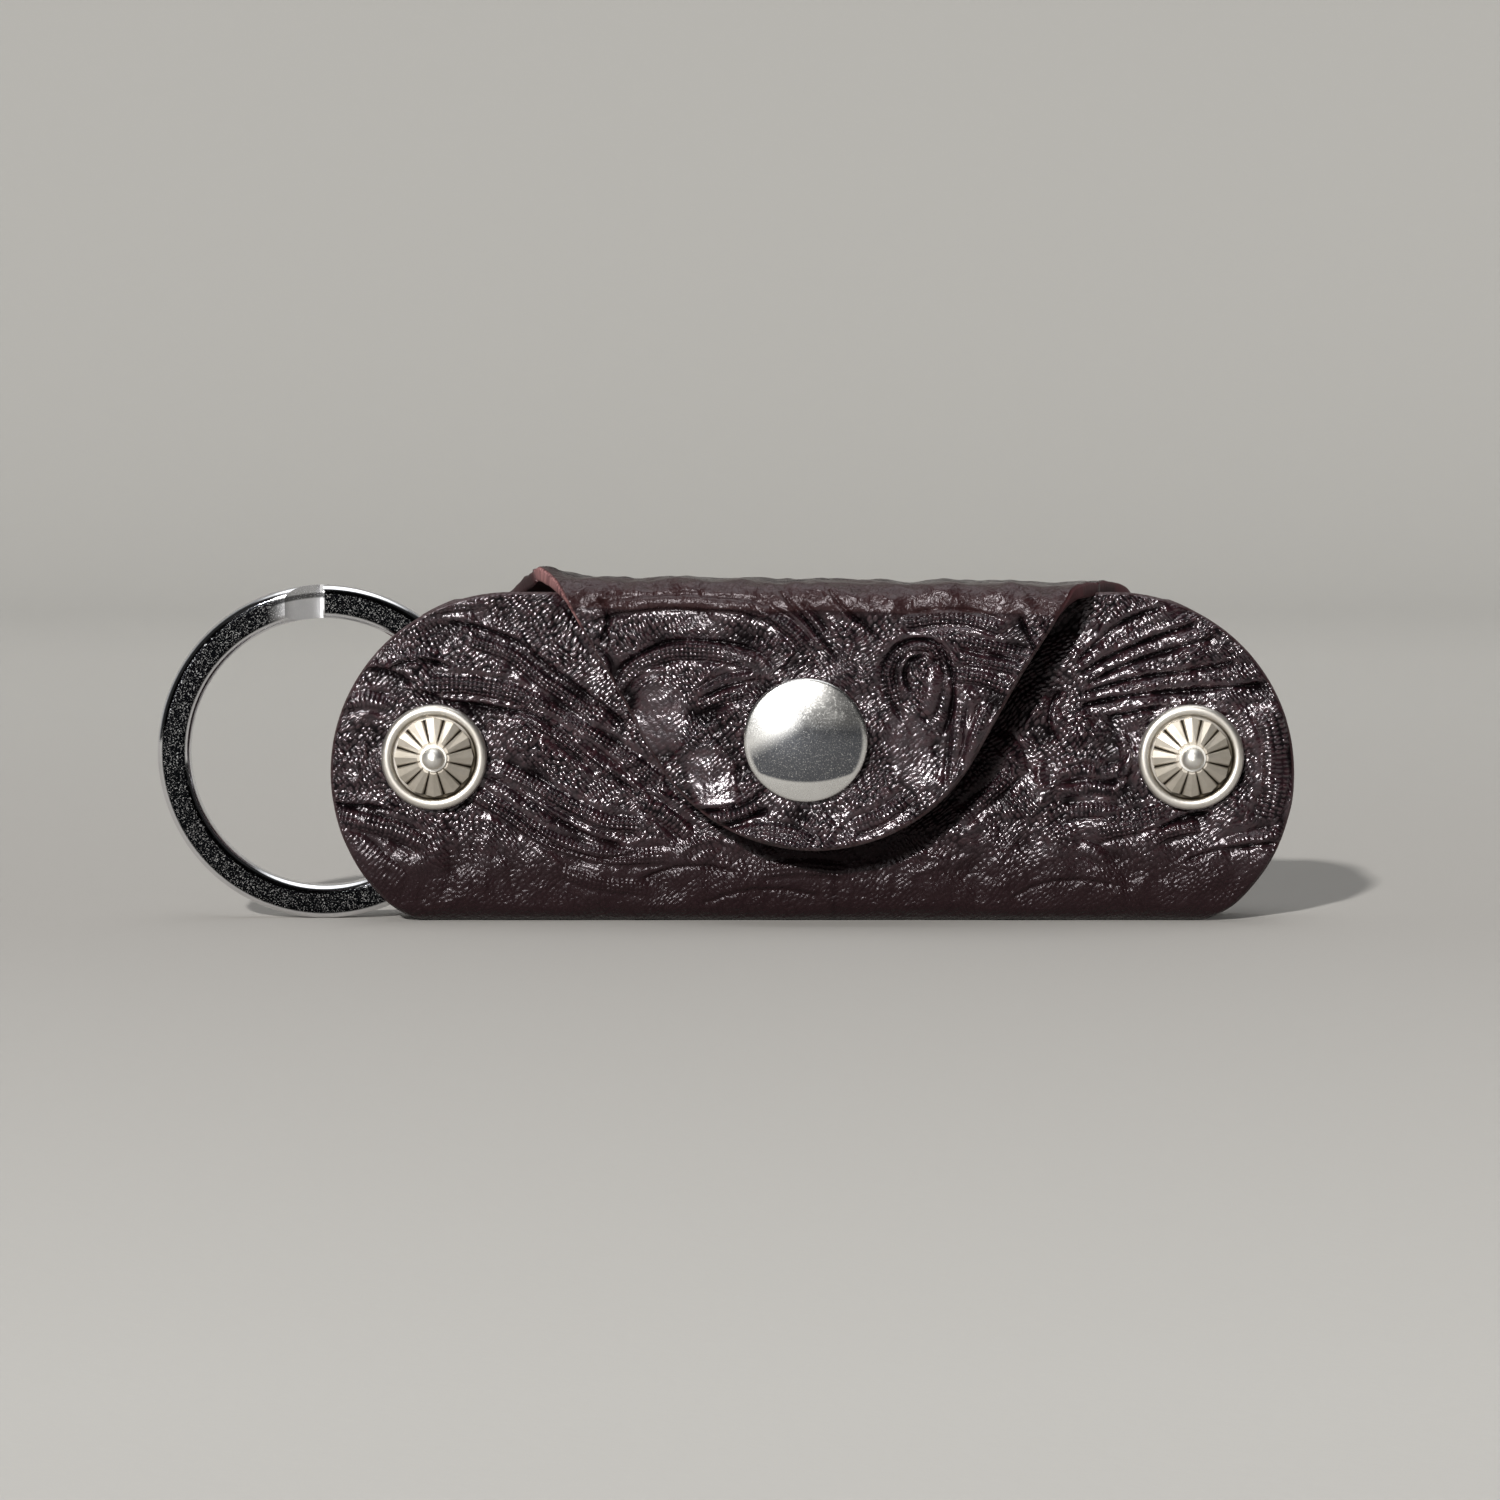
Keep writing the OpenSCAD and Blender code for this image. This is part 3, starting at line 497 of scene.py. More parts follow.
def flap_surface(x, s):
    """Place of a point of the flap's outer face."""
    turn_back = np.clip((s - ROOT_RUN) / BACK_BEND_R, 0, math.pi / 2)
    top = np.clip((s - ROOT_RUN - BACK_RUN) / TOP_RUN, 0, 1)
    turn_front = np.clip((s - FRONT_START + FRONT_RUN) / FRONT_BEND_R, 0, math.pi / 2)
    down = np.clip(s - FRONT_START, 0, None)
    v = FRONT_BEND_Z - down
    # The front stands further forward at the right and at the tip, and hugs the panel at the left
    yaw = -(x - SNAP[0]) * FLAP_YAW_TAN
    hug = smooth_step((-x - 8) / 14)
    lift = -0.6 * smooth_step((x - 10) / 15) * smooth_step((36 - v) / 14)
    tip_out = -0.9 * smooth_step((17 - v) / 10)
    y = BACK_BEND_Y + BACK_BEND_R * np.cos(turn_back) + top * (yaw + hug - TOP_RUN)
    y = y - FRONT_BEND_R * np.sin(turn_front) + lift * smooth_step(down / 8) + tip_out
    z = SEAM_Z + np.clip(s, 0, ROOT_RUN) + BACK_BEND_R * np.sin(turn_back)
    z = z - FRONT_BEND_R * (1 - np.cos(turn_front)) - down
    # The top sags towards the right, curls up at the left edge and isn't quite even
    over = smooth_step(s / 5) * smooth_step(1 - down / 8)
    arch = np.sin(math.pi * np.clip((s - ROOT_RUN - 2) / 17, 0, 1)) ** 2
    ripple = 0.09 * np.sin(x / 2.3 + 0.5) + 0.06 * np.sin(x / 1.13 + 1.9)
    z = z + over * (ripple - 0.35 - 0.45 * smooth_step((x + 20) / 45)) + 0.95 * bell(x + 27.5, 2.8) * arch
    x = x + 2.0 * smooth_step((-x - 18) / 14) * smooth_step(s / 4) * smooth_step((14 - s) / 9)
    return np.stack([x, y, z], -1)


def normals_of(surface, x, s, step=0.02):
    """Outward normals of a surface, from its slopes."""
    across = surface(x + step, s) - surface(x - step, s)
    along = surface(x, s + step) - surface(x, s - step)
    n = np.cross(along, across)
    return n / np.linalg.norm(n, axis=1)[:, None]


def inside_loop(points, loop):
    """Which points lie inside a closed loop."""
    inside = np.zeros(len(points), bool)
    for a, b in zip(loop, np.roll(loop, -1, axis=0)):
        if a[1] == b[1]:
            continue
        crosses = (points[:, 1] < a[1]) != (points[:, 1] < b[1])
        at = a[0] + (points[:, 1] - a[1]) * (b[0] - a[0]) / (b[1] - a[1])
        inside ^= crosses & (points[:, 0] < at)
    return inside


def honeycomb(low, high, spacing):
    """Points of a regular triangle pattern between two corners."""
    rows = np.arange(low[1], high[1], spacing * math.sqrt(3) / 2)
    x, s = np.meshgrid(np.arange(low[0], high[0], spacing), rows)
    x = x + (np.arange(len(rows)) % 2)[:, None] * spacing / 2
    return np.stack([x.ravel(), s.ravel()], -1)


def near_loop(points, loop, reach):
    """Which points lie within about a reach of a dense loop."""
    low = np.minimum(points.min(0), loop.min(0)) - 3 * reach
    size = ((np.maximum(points.max(0), loop.max(0)) - low) / reach).astype(int) + 4
    marked = np.zeros(size, bool)
    cell = ((loop - low) / reach).astype(int)
    for dx in (-1, 0, 1):
        for ds in (-1, 0, 1):
            marked[cell[:, 0] + dx, cell[:, 1] + ds] = True
    at = ((points - low) / reach).astype(int)
    return marked[at[:, 0], at[:, 1]]


def everywhere(x, s):
    """The test of a layer that fills the whole loop."""
    return np.ones(len(x), bool)


def fill_loop(loop, layers):
    """Triangles that fill a loop, with points at the spacing of each layer where its test holds."""
    loose = []
    for spacing, holds in layers:
        points = honeycomb(loop.min(0), loop.max(0), spacing)
        points = points[holds(points[:, 0], points[:, 1])]
        points = points[~near_loop(points, loop, 0.55 * spacing)]
        loose.append(points[inside_loop(points, loop)])
    count = len(loop)
    edges = [(i, (i + 1) % count) for i in range(count)]
    made = delaunay_2d_cdt([Vector(p) for p in np.vstack([loop] + loose)], edges, [], 0, 1e-7, False)
    points = np.array([tuple(p) for p in made[0]])
    faces = np.array(made[2])
    # Only a face whose corners all lie on the loop can lie outside it
    kept = ~(faces < count).all(1)
    kept[~kept] = inside_loop(points[faces[~kept]].mean(1), loop)
    return points, faces[kept]


def resample(points, free, spacing):
    """A closed loop of points about one spacing apart, and which of them lie on a free edge."""
    made, flags = [], []
    for a, b, is_free in zip(points, np.roll(points, -1, axis=0), free):
        count = max(1, int(round(np.linalg.norm(b - a) / spacing)))
        made += [a + (b - a) * k / count for k in range(count)]
        flags += [is_free] * count
    return np.array(made), np.minimum(flags, np.roll(flags, 1))


def new_object(name, data):
    """An object in the scene."""
    made = bpy.data.objects.new(name, data)
    bpy.context.scene.collection.objects.link(made)
    return made


def mesh_object(name, points, faces):
    """An object in the scene with a smooth mesh, from points in millimetres."""
    mesh = bpy.data.meshes.new(name)
    mesh.from_pydata((np.array(points) * MM).tolist(), [], faces)
    mesh.validate()
    mesh.shade_smooth()
    return new_object(name, mesh)


# Rows of points round a cut edge, from the outer face to the inner one: how far in, in roundings of the edge, how deep,
# and with which share of the relief's height
ROW_INSETS = (0.29, 0.0, 0.0, 0.29)
ROW_DEPTHS = (0.29 * EDGE_ROUND, EDGE_ROUND, LEATHER - EDGE_ROUND, LEATHER - 0.29 * EDGE_ROUND)
ROW_SHARES = (1 - ROW_DEPTHS[0] / LEATHER, 1 - ROW_DEPTHS[1] / LEATHER, 0.0, 0.0)


def leather_piece(name, surface, loop, free, layers, inner_spacing, relief_at, height_at):
    """A closed leather mesh over a loop of the flat strip, embossed outside and plain inside."""
    ahead = np.roll(loop, -1, axis=0) - np.roll(loop, 1, axis=0)
    inward = np.stack([-ahead[:, 1], ahead[:, 0]], -1)
    inward /= np.linalg.norm(inward, axis=1)[:, None]
    inward *= (EDGE_ROUND * free)[:, None]
    outer, outer_faces = fill_loop(loop + inward, layers)
    inner, inner_faces = fill_loop(loop + inward, [(inner_spacing, everywhere)])
    x, s = np.vstack([outer] + [loop + inset * inward for inset in ROW_INSETS] + [inner]).T
    sizes = [len(outer)] + [len(loop)] * len(ROW_INSETS) + [len(inner)]
    depth = np.repeat([0.0, *ROW_DEPTHS, LEATHER], sizes)
    found = relief_at(x, s)
    height = found.pop("height") * np.repeat([1.0, *ROW_SHARES, 0.0], sizes)
    points = surface(x, s) + normals_of(surface, x, s) * (height - depth)[:, None]

    starts = np.cumsum([0] + sizes[:-1])
    here = np.arange(len(loop))
    after = (here + 1) % len(loop)
    bands = [np.stack(corners, -1) for low, high in zip(starts, starts[1:])
             for corners in ((low + here, low + after, high + after), (low + here, high + after, high + here))]
    # The strip's X and length run against the outward normal, so the outer faces turn over
    faces = np.vstack([outer_faces[:, ::-1], *bands, inner_faces + starts[-1]])
    piece = mesh_object(name, points, faces.tolist())
    put(piece.data, strip=np.stack([x, height_at(s), np.zeros(len(x))], -1), relief=height, **found,
        cut_edge=np.concatenate([np.zeros(len(outer))] + [free] * len(ROW_INSETS) + [np.zeros(len(inner))]),
        flesh=np.arange(len(x)) >= starts[-1])
    mark_seams(piece.data, starts, free)
    return piece


def put(mesh, **fields):
    """Stores numbers or vectors under their names for the mesh's points."""
    for name, values in fields.items():
        values = np.asarray(values, np.float32)
        kind, key = ("FLOAT_VECTOR", "vector") if values.ndim == 2 else ("FLOAT", "value")
        mesh.attributes.new(name, kind, "POINT").data.foreach_set(key, values.ravel())


def mark_seams(mesh, starts, free):
    """Makes the edges of the joins sharp, so that the faces on both sides shade as one."""
    here = np.arange(len(free))
    after = (here + 1) % len(free)
    joined = (free < 1) & (free[after] < 1)
    ends = (free < 1) & (np.maximum(np.roll(free, 1), free[after]) == 1)
    pairs = [starts[k] + np.stack([here, after], -1)[joined] for k in (0, -1)]
    pairs += [np.stack([low + here, high + here], -1)[ends] for low, high in zip(starts, starts[1:])]
    sharp = {tuple(pair) for pair in np.sort(np.vstack(pairs), axis=1)}
    edges = np.zeros(len(mesh.edges) * 2, int)
    mesh.edges.foreach_get("vertices", edges)
    flags = [tuple(pair) in sharp for pair in np.sort(edges.reshape(-1, 2), axis=1)]
    attribute = mesh.attributes.get("sharp_edge") or mesh.attributes.new("sharp_edge", "BOOLEAN", "EDGE")
    attribute.data.foreach_set("value", flags)


def half_loop(half_width, rows):
    """Right-hand side of an outline, from the first row to the last."""
    return np.stack([half_width(rows), rows], -1)


def post_fade(x, z, places, radius, soft=1.4):
    """1 away from the fittings and 0 under them, where the leather is pressed flat."""
    fade = np.ones_like(x)
    for place in places:
        fade *= smooth_step((np.hypot(x - place[0], z - place[2]) - radius + soft) / soft)
    return fade


# Spacing of the mesh's points: on the front panel, under the flap, from the fold to the back and inside
FRONT_SPACING, UNDER_SPACING, BACK_SPACING, INSIDE_SPACING = 0.215, 0.7, 0.5, 1.6
# The same on the flap's front, over its top and inside
FLAP_FRONT_SPACING, FLAP_TOP_SPACING, FLAP_INSIDE_SPACING = 0.17, 0.3, 1.0
# How far before the middle of the fold the spacing changes
FOLD_MARGIN = 1.5


def build_case():
    """Front panel, bottom fold and back panel."""
    front, back = panel_relief(7), panel_relief(11, mirrored=True)
    neck = float(flap_half_width(0.0))

    def relief_at(x, s):
        z = strip_height(s)
        in_front = s < HALF_RUN
        ahead, behind = front.fields(x, z), back.fields(x, z)
        found = {key: np.where(in_front, ahead[key].T, behind[key].T).T for key in ahead}
        fade = post_fade(x, z, POSTS.values(), CONCHO_R)
        fade *= smooth_step((np.abs(s - HALF_RUN) - 2.8) / 3.4) * (0.4 + 0.6 * smooth_step((z - 2.0) / 9.0))
        seam = (s > BACK_START) & (np.abs(x) < neck + 0.5)
        found["height"] *= np.where(seam, fade * smooth_step((SEAM_Z - z) / 1.2), fade)
        # Painted shade: the leather turns darker and duller towards the bottom
        found["wear_and_painted_shade"] = 0.6 * smooth_step((12.0 - z) / 9.0)
        found["raw_edge_and_painted_light"] = np.zeros(len(x))
        # Painted shadow: under the flap, and as far beside it as its shadow falls, the leather's colour and reflection
        # are darkened
        over = flap_half_width(FRONT_START + FRONT_BEND_Z - z - 2.4)
        found["shade"] = smooth_step((over + 0.8 - np.abs(x - 2.2)) / 1.7) * in_front
        return found

    angles = np.linspace(math.pi / 2, 0, 60)
    top_right = np.stack([END_X + END_R * np.cos(angles), PANEL_TOP - (END_Z + END_R * np.sin(angles))], -1)
    lower = half_loop(case_half_width, np.linspace(PANEL_TOP - END_Z, STRIP_RUN - (PANEL_TOP - END_Z), 220)[1:-1])
    shoulder = top_right[::-1] * [1, -1] + [0, STRIP_RUN]
    slope_rows = np.linspace(PANEL_TOP - 1.3, SEAM_Z, 6)
    slope = np.stack([neck + (SEAM_Z - slope_rows) * math.tan(TAPER), STRIP_RUN - (PANEL_TOP - slope_rows)], -1)
    # The sharp corner between the shoulder and the slope is cut off round
    shoulder = shoulder[shoulder[:, 0] > slope[0, 0] + 2.4]
    corner = 0.5 * (shoulder[-1] + slope[0]) + [0.0, 0.22]
    right = np.vstack([top_right, lower, shoulder, corner, slope])
    free = np.ones(2 * len(right))
    free[len(right) - 1] = 0
    loop, free = resample(np.vstack([right, right[::-1] * [-1, 1]]), free, 0.3)

    def hidden(x, s):
        z = strip_height(s)
        under = np.abs(x) < np.clip(flap_half_width(FRONT_START + FRONT_BEND_Z - z) - 3.0, 0, None)
        return under & (z > TIP_Z + 5) & (s < HALF_RUN)

    layers = [(FRONT_SPACING, lambda x, s: (s < HALF_RUN - FOLD_MARGIN) & ~hidden(x, s)), (UNDER_SPACING, hidden),
              (BACK_SPACING, lambda x, s: s >= HALF_RUN - FOLD_MARGIN)]
    piece = leather_piece("case_leather", case_surface, loop, free, layers, INSIDE_SPACING, relief_at, strip_height)
    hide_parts("case_body")
    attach(piece, "case")
    return piece


def flap_loop(start, stop):
    """Outline of the flap between two rows of its strip, and which of its points lie on a free edge."""
    if stop == FLAP_RUN:
        angles = np.linspace(0, math.pi / 2 - TAPER, 50)[::-1]
        tip = np.stack([TIP_R * np.sin(angles), FRONT_START + FRONT_BEND_Z - TIP_CENTRE_Z + TIP_R * np.cos(angles)], -1)
        right = np.vstack([half_loop(flap_half_width, np.linspace(start, tip[0, 1], 40)[:-1]), tip])
        left = right[-2::-1] * [-1, 1]
        seams = [-1]
    else:
        right = half_loop(flap_half_width, np.linspace(start, stop, 40))
        left = right[::-1] * [-1, 1]
        seams = [-1, len(right) - 1]
    free = np.ones(len(right) + len(left))
    free[seams] = 0
    return resample(np.vstack([right, left]), free, 0.25)


def build_flap():
    """The flap: its back half bends at the back bend, and its front half at the front one."""
    relief = flap_relief(23)

    def relief_at(x, s):
        v = flap_height(s)
        # A height out of reach stands for the top, where the cap isn't
        fade = post_fade(x, np.where(s > FRONT_START, v, 1000.0), [SNAP], CAP_R)
        fade *= 0.55 + 0.45 * smooth_step((s - FRONT_START + FRONT_RUN) / 4)
        fade *= smooth_step(s / 1.2) * smooth_step((np.abs(s - TOP_SEAM) - 0.05) / 0.9)
        found = relief.fields(x, v)
        found["height"] *= fade
        found["wear_and_painted_shade"] = smooth_step((v - 31.4) / 1.4) * (1 - 0.6 * smooth_step((v - 37.0) / 3.0))
        found["shade"] = np.zeros(len(x))
        # The left curl's raw edge is painted pale pink, as light falling on it, and the right top's is red
        found["raw_edge_and_painted_light"] = (smooth_step((-22.0 - x) / 1.5) * smooth_step((v - 29.5) / 1.5) * smooth_step((42.5 - v) / 3.0)
                        + 0.5 * smooth_step((x - 22.0) / 3.0) * smooth_step((v - 30.0) / 2.0))
        return found

    back = leather_piece("flap_back_leather", flap_surface, *flap_loop(0, TOP_SEAM), [(FLAP_TOP_SPACING, everywhere)],
                         FLAP_INSIDE_SPACING, relief_at, flap_height)
    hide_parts("flap_bridge")
    front = leather_piece("flap_front_leather", flap_surface, *flap_loop(TOP_SEAM, FLAP_RUN),
                          [(FLAP_FRONT_SPACING, everywhere)], FLAP_INSIDE_SPACING, relief_at, flap_height)
    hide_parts("flap_tongue")
    return back, front


def build_cap():
    """The snap's cap, turned as one smooth dome with a round rim, on the flap's face."""
    yaw = math.atan(FLAP_YAW_TAN)
    out = np.array([-math.sin(yaw), -math.cos(yaw), 0])
    across = np.array([math.cos(yaw), -math.sin(yaw), 0])
    rise, rim_r, rim_h, count = 1.65, 0.36, 1.0, 160
    base = SNAP - out * (rise - CAP_R * math.sin(yaw)) / 2
    dome_r = CAP_R - rim_r
    radius = np.linspace(0, dome_r, 28)
    dome = rim_h + (rise - rim_h) * (1 - (radius / dome_r) ** 2)
    tilt = math.atan(2 * (rise - rim_h) / dome_r)
    turn = np.linspace(tilt, math.pi / 2, 10)
    round_r = dome_r + rim_r * (np.sin(turn) - math.sin(tilt)) / (1 - math.sin(tilt))
    round_h = rim_h - rim_r * (math.cos(tilt) - np.cos(turn))
    profile = np.vstack([np.stack([radius, dome], -1), np.stack([round_r, round_h], -1)[1:],
                         [[CAP_R, 0.25], [CAP_R - 0.15, 0.02], [CAP_R - 0.9, 0.0]]])
    angles = (np.arange(count) * 2 * math.pi / count)[:, None]
    spokes = across * np.cos(angles) + [0, 0, 1] * np.sin(angles)
    points = np.vstack([base + out * profile[0, 1]] + [base + out * h + r * spokes for r, h in profile[1:]] + [base])
    starts = [1 + k * count for k in range(len(profile) - 1)]
    faces = []
    for i in range(count):
        j = (i + 1) % count
        faces.append((0, 1 + i, 1 + j))
        faces += [(a + i, b + i, b + j, a + j) for a, b in zip(starts, starts[1:])]
        faces.append((starts[-1] + j, starts[-1] + i, len(points) - 1))
    cap = mesh_object("cap_dome", points, faces)
    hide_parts("snap_cap")
    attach(cap, "flap_tongue")
    return cap


def linear(red, green, blue):
    """A colour written as it shows, from 0 to 255, as linear values."""
    parts = [c / 255 for c in (red, green, blue)]
    return tuple(c / 12.92 if c <= 0.04045 else ((c + 0.055) / 1.055) ** 2.4 for c in parts) + (1.0,)


class Nodes:
    """Short hand for building the nodes of a material or a world."""

    def __init__(self, owner, shader="Principled BSDF"):
        owner.use_nodes = True
        self.owner = owner
        self.tree = owner.node_tree
        self.shader = self.tree.nodes[shader]

    def add(self, kind, **settings):
        """A new node with some settings."""
        node = self.tree.nodes.new("ShaderNode" + kind)
        for key, value in settings.items():
            setattr(node, key, value)
        return node

    def feed(self, node, inputs):
        """Sets a node's inputs, by number or name, to values or to the outputs of other nodes."""
        for key, value in inputs.items():
            if hasattr(value, "is_output"):
                self.tree.links.new(value, node.inputs[key])
            else:
                node.inputs[key].default_value = value

    def set(self, node, **inputs):
        """Sets a node's inputs by their names."""
        self.feed(node, {name.replace("_", " "): value for name, value in inputs.items()})

    def math(self, operation, *values):
        """One operation on a number or two."""
        node = self.add("Math", operation=operation)
        self.feed(node, dict(enumerate(values)))
        return node.outputs[0]

    def times(self, *values):
        return reduce(partial(self.math, "MULTIPLY"), values)

    def plus(self, a, b):
        return self.math("ADD", a, b)

    def minus(self, a, b):
        return self.math("SUBTRACT", a, b)

    def rest(self, share):
        """What a share leaves of 1."""
        return self.minus(1.0, share)

    def most(self, a, b):
        """The larger of two numbers."""
        return self.math("MAXIMUM", a, b)

    def distance(self, x, z):
        """Distance from an axis."""
        return self.math("SQRT", self.plus(self.times(x, x), self.times(z, z)))

    def spread(self, value, low, high, to_low=0.0, to_high=1.0, ends="LINEAR"):
        """A value mapped from one range to another, and held at the ends."""
        node = self.add("MapRange", interpolation_type=ends)
        self.feed(node, dict(enumerate((value, low, high, to_low, to_high))))
        return node.outputs[0]

    def smooth(self, value, low, high, to_low=0.0, to_high=1.0):
        """A value mapped from one range to another with soft ends."""
        return self.spread(value, low, high, to_low, to_high, "SMOOTHSTEP")

    def mix(self, share, a, b):
        """A colour between two others, which are nodes or written as they show, from 0 to 255."""
        node = self.add("Mix", data_type="RGBA")
        a, b = [linear(*colour) if isinstance(colour, tuple) else colour for colour in (a, b)]
        self.feed(node, {0: share, 6: a, 7: b})
        return node.outputs[2]

    def between(self, share, a, b):
        """A number between two others."""
        node = self.add("Mix", data_type="FLOAT")
        self.feed(node, {0: share, 2: a, 3: b})
        return node.outputs[0]

    def noise(self, place, scale, detail=2.0, roughness=0.5, distortion=0.0):
        """Clouds, from 0 to 1."""
        node = self.add("TexNoise")
        self.set(node, Vector=place, Scale=scale, Detail=detail, Roughness=roughness, Distortion=distortion)
        return node.outputs["Fac"]

    def cells(self, place, scale=1.0, randomness=1.0, dimensions="3D"):
        """Distance from the middle of the nearest cell of a pattern."""
        node = self.add("TexVoronoi", voronoi_dimensions=dimensions)
        self.set(node, Vector=place, Scale=scale, Randomness=randomness)
        return node.outputs["Distance"]

    def sway(self, place, scale, amount):
        """Places that wander a little, so that rows aren't straight."""
        noise = self.add("TexNoise")
        self.set(noise, Vector=place, Scale=scale, Detail=1.0)
        shift = self.add("VectorMath", operation="MULTIPLY_ADD")
        self.feed(shift, {0: noise.outputs["Color"], 1: (amount, amount, 0), 2: place})
        return shift.outputs[0]

    def turned(self, place, degrees, along, across):
        """Places turned in their plane and counted in lengths along and across that direction."""
        node = self.add("Mapping", vector_type="TEXTURE")
        self.set(node, Vector=place, Rotation=(0, 0, math.radians(degrees)), Scale=(along, across, 1))
        return node.outputs[0]

    def bump(self, height, distance, below=None):
        """A normal that follows a small height, over the normal of a broader one."""
        node = self.add("Bump")
        self.set(node, Height=height, Distance=distance, Strength=1.0)
        if below is not None:
            self.set(node, Normal=below)
        return node.outputs["Normal"]

    def attribute(self, name, output="Fac"):
        """What the mesh stores under a name."""
        return self.add("Attribute", attribute_name=name).outputs[output]

    def place(self, kind="Object"):
        """Coordinates of one kind."""
        return self.add("TexCoord").outputs[kind]

    def parts(self, vector):
        """X, Y and Z of a vector."""
        node = self.add("SeparateXYZ")
        self.feed(node, {0: vector})
        return node.outputs


def leather_material():
    """Dark burgundy leather: small glossy beads with grooves darkened to near black as painted shade, redder at bends
    and cut edges.
    """
    n = Nodes(bpy.data.materials.new("leather"))
    strip = n.attribute("strip", "Vector")
    relief, edge, flesh = n.attribute("relief"), n.attribute("cut_edge"), n.attribute("flesh")
    wear_and_painted_shade, raw_edge_and_painted_light = n.attribute("wear_and_painted_shade"), n.attribute("raw_edge_and_painted_light")
    inner = n.most(edge, flesh)
    outside = n.rest(inner)
    # Beads: along the tool's rows in the bands, and as short dashes in two directions elsewhere
    swayed = n.sway(strip, 0.16, 2.4)
    dashes = [n.smooth(n.cells(n.turned(swayed, *way), randomness=0.62, dimensions="2D"), 0.72, 0.02)
              for way in ((38, 0.68, 0.42), (-52, 0.60, 0.40))]
    dash = n.between(n.smooth(n.noise(strip, 0.11, 1.0, 0.5), 0.50, 0.56), *dashes)
    beads = n.smooth(n.cells(n.attribute("rows", "Vector"), randomness=0.28, dimensions="2D"), 0.62, 0.02)
    tooled = n.between(n.attribute("row_share"), n.times(dash, 0.9), n.times(beads, 1.15))
    calm = n.spread(n.noise(strip, 0.17, 2.0, 0.5), 0.38, 0.52, 0.6, 1.0)
    amount = n.times(n.attribute("grain"), calm, n.rest(n.times(wear_and_painted_shade, 0.9)))
    broad = n.noise(strip, 0.09, 3.0, 0.55)
    mottle = n.noise(strip, 0.9, 4.0, 0.6)
    fine = n.noise(strip, 5.0, 3.0, 0.6)
    mottled, grainy = n.spread(mottle, 0.3, 0.7), n.spread(fine, 0.3, 0.7)
    # Colour
    dark = n.mix(n.spread(broad, 0.35, 0.65), (25, 14, 19), (35, 20, 25))
    body = n.mix(n.spread(mottle, 0.42, 0.8, 0.0, 0.6), dark, (62, 28, 32))
    # Painted shade: near black between the beads and in the deep cuts
    valley = n.rest(n.times(amount, n.rest(n.smooth(tooled, 0.05, 0.6))))
    grooved = n.mix(valley, (7, 4, 6), body)
    sunk = n.mix(n.spread(relief, -0.10, -0.42, 0.0, 0.9), grooved, (6, 4, 5))
    # Painted shade: darker towards the case's bottom; the flap's worn top band is a lighter tan
    bend = n.mix(mottled, (33, 20, 21), (23, 13, 15))
    tan = n.mix(n.spread(wear_and_painted_shade, 0.6, 0.75), bend, n.mix(mottled, (50, 31, 31), (36, 21, 22)))
    rubbed_and_painted_shade = n.mix(n.times(n.spread(wear_and_painted_shade, 0.0, 0.6), n.spread(fine, 0.25, 0.6, 0.45, 1.0)), sunk, tan)
    # Painted shadow: darker colour under the flap and beside it, where its shadow falls
    shade = n.times(n.attribute("shade"), outside)
    rubbed_and_painted_shade = n.mix(n.times(shade, 0.5), rubbed_and_painted_shade, (8, 5, 6))
    cut = n.mix(grainy, (50, 29, 29), (36, 19, 20))
    # Raw cut edges: red at the flap's right top, and at the left curl pale pink mottled with painted highlights, where
    # light falls
    cut = n.mix(n.spread(raw_edge_and_painted_light, 0.0, 0.5), cut, (62, 28, 31))
    fuzz_and_painted_highlight = n.spread(n.noise(strip, 3.2, 3.0, 0.7), 0.38, 0.62)
    cut = n.mix(n.spread(raw_edge_and_painted_light, 0.5, 1.0), cut, n.mix(fuzz_and_painted_highlight, (152, 110, 108), (70, 37, 41)))
    suede = n.mix(grainy, (74, 46, 45), (54, 33, 34))
    # Painted shade in the reflection: darkened in the grooves, in the deep cuts, under the flap's painted shadow and
    # towards the case's bottom, and duller on the flap's worn top
    reflection_and_painted_shade = n.times(n.spread(valley, 0.0, 0.8, 0.13, 1.0), n.spread(relief, -0.46, -0.14, 0.16, 1.0),
                     n.rest(n.times(shade, 0.85)),
                     n.plus(n.spread(wear_and_painted_shade, 0.0, 0.6, 1.0, 0.20), n.spread(wear_and_painted_shade, 0.6, 0.75, 0.0, 0.13)))
    reflection_and_painted_shade = n.most(reflection_and_painted_shade, n.times(inner, 0.5))
    # Roughness
    tops = n.minus(n.spread(mottle, 0.25, 0.75, 0.16, 0.23), n.times(n.attribute("gloss"), 0.05))
    rough = n.between(n.times(wear_and_painted_shade, 0.8), n.between(valley, 0.26, tops), n.spread(fine, 0.3, 0.7, 0.30, 0.38))
    back_rough = n.most(n.times(edge, 0.7), n.times(flesh, 0.92))
    # Small relief
    wrinkle = n.noise(strip, 2.6, 3.0, 0.6, 0.4)
    crumple = n.times(n.noise(strip, 1.3, 2.0, 0.5, 0.8), wear_and_painted_shade, outside)
    normal = n.bump(crumple, 0.20 * MM)
    for height, size in ((wrinkle, 0.055), (n.times(tooled, amount, outside), 0.115), (n.noise(strip, 11.0), 0.009)):
        normal = n.bump(height, size * MM, normal)
    n.set(n.shader, Base_Color=n.mix(flesh, n.mix(edge, rubbed_and_painted_shade, cut), suede), Roughness=n.most(rough, back_rough),
          Specular_Tint=n.mix(reflection_and_painted_shade, (0, 0, 0), (255, 247, 252.75)), Normal=normal,
          Specular_IOR_Level=1.0, IOR=1.5)
    return n.owner


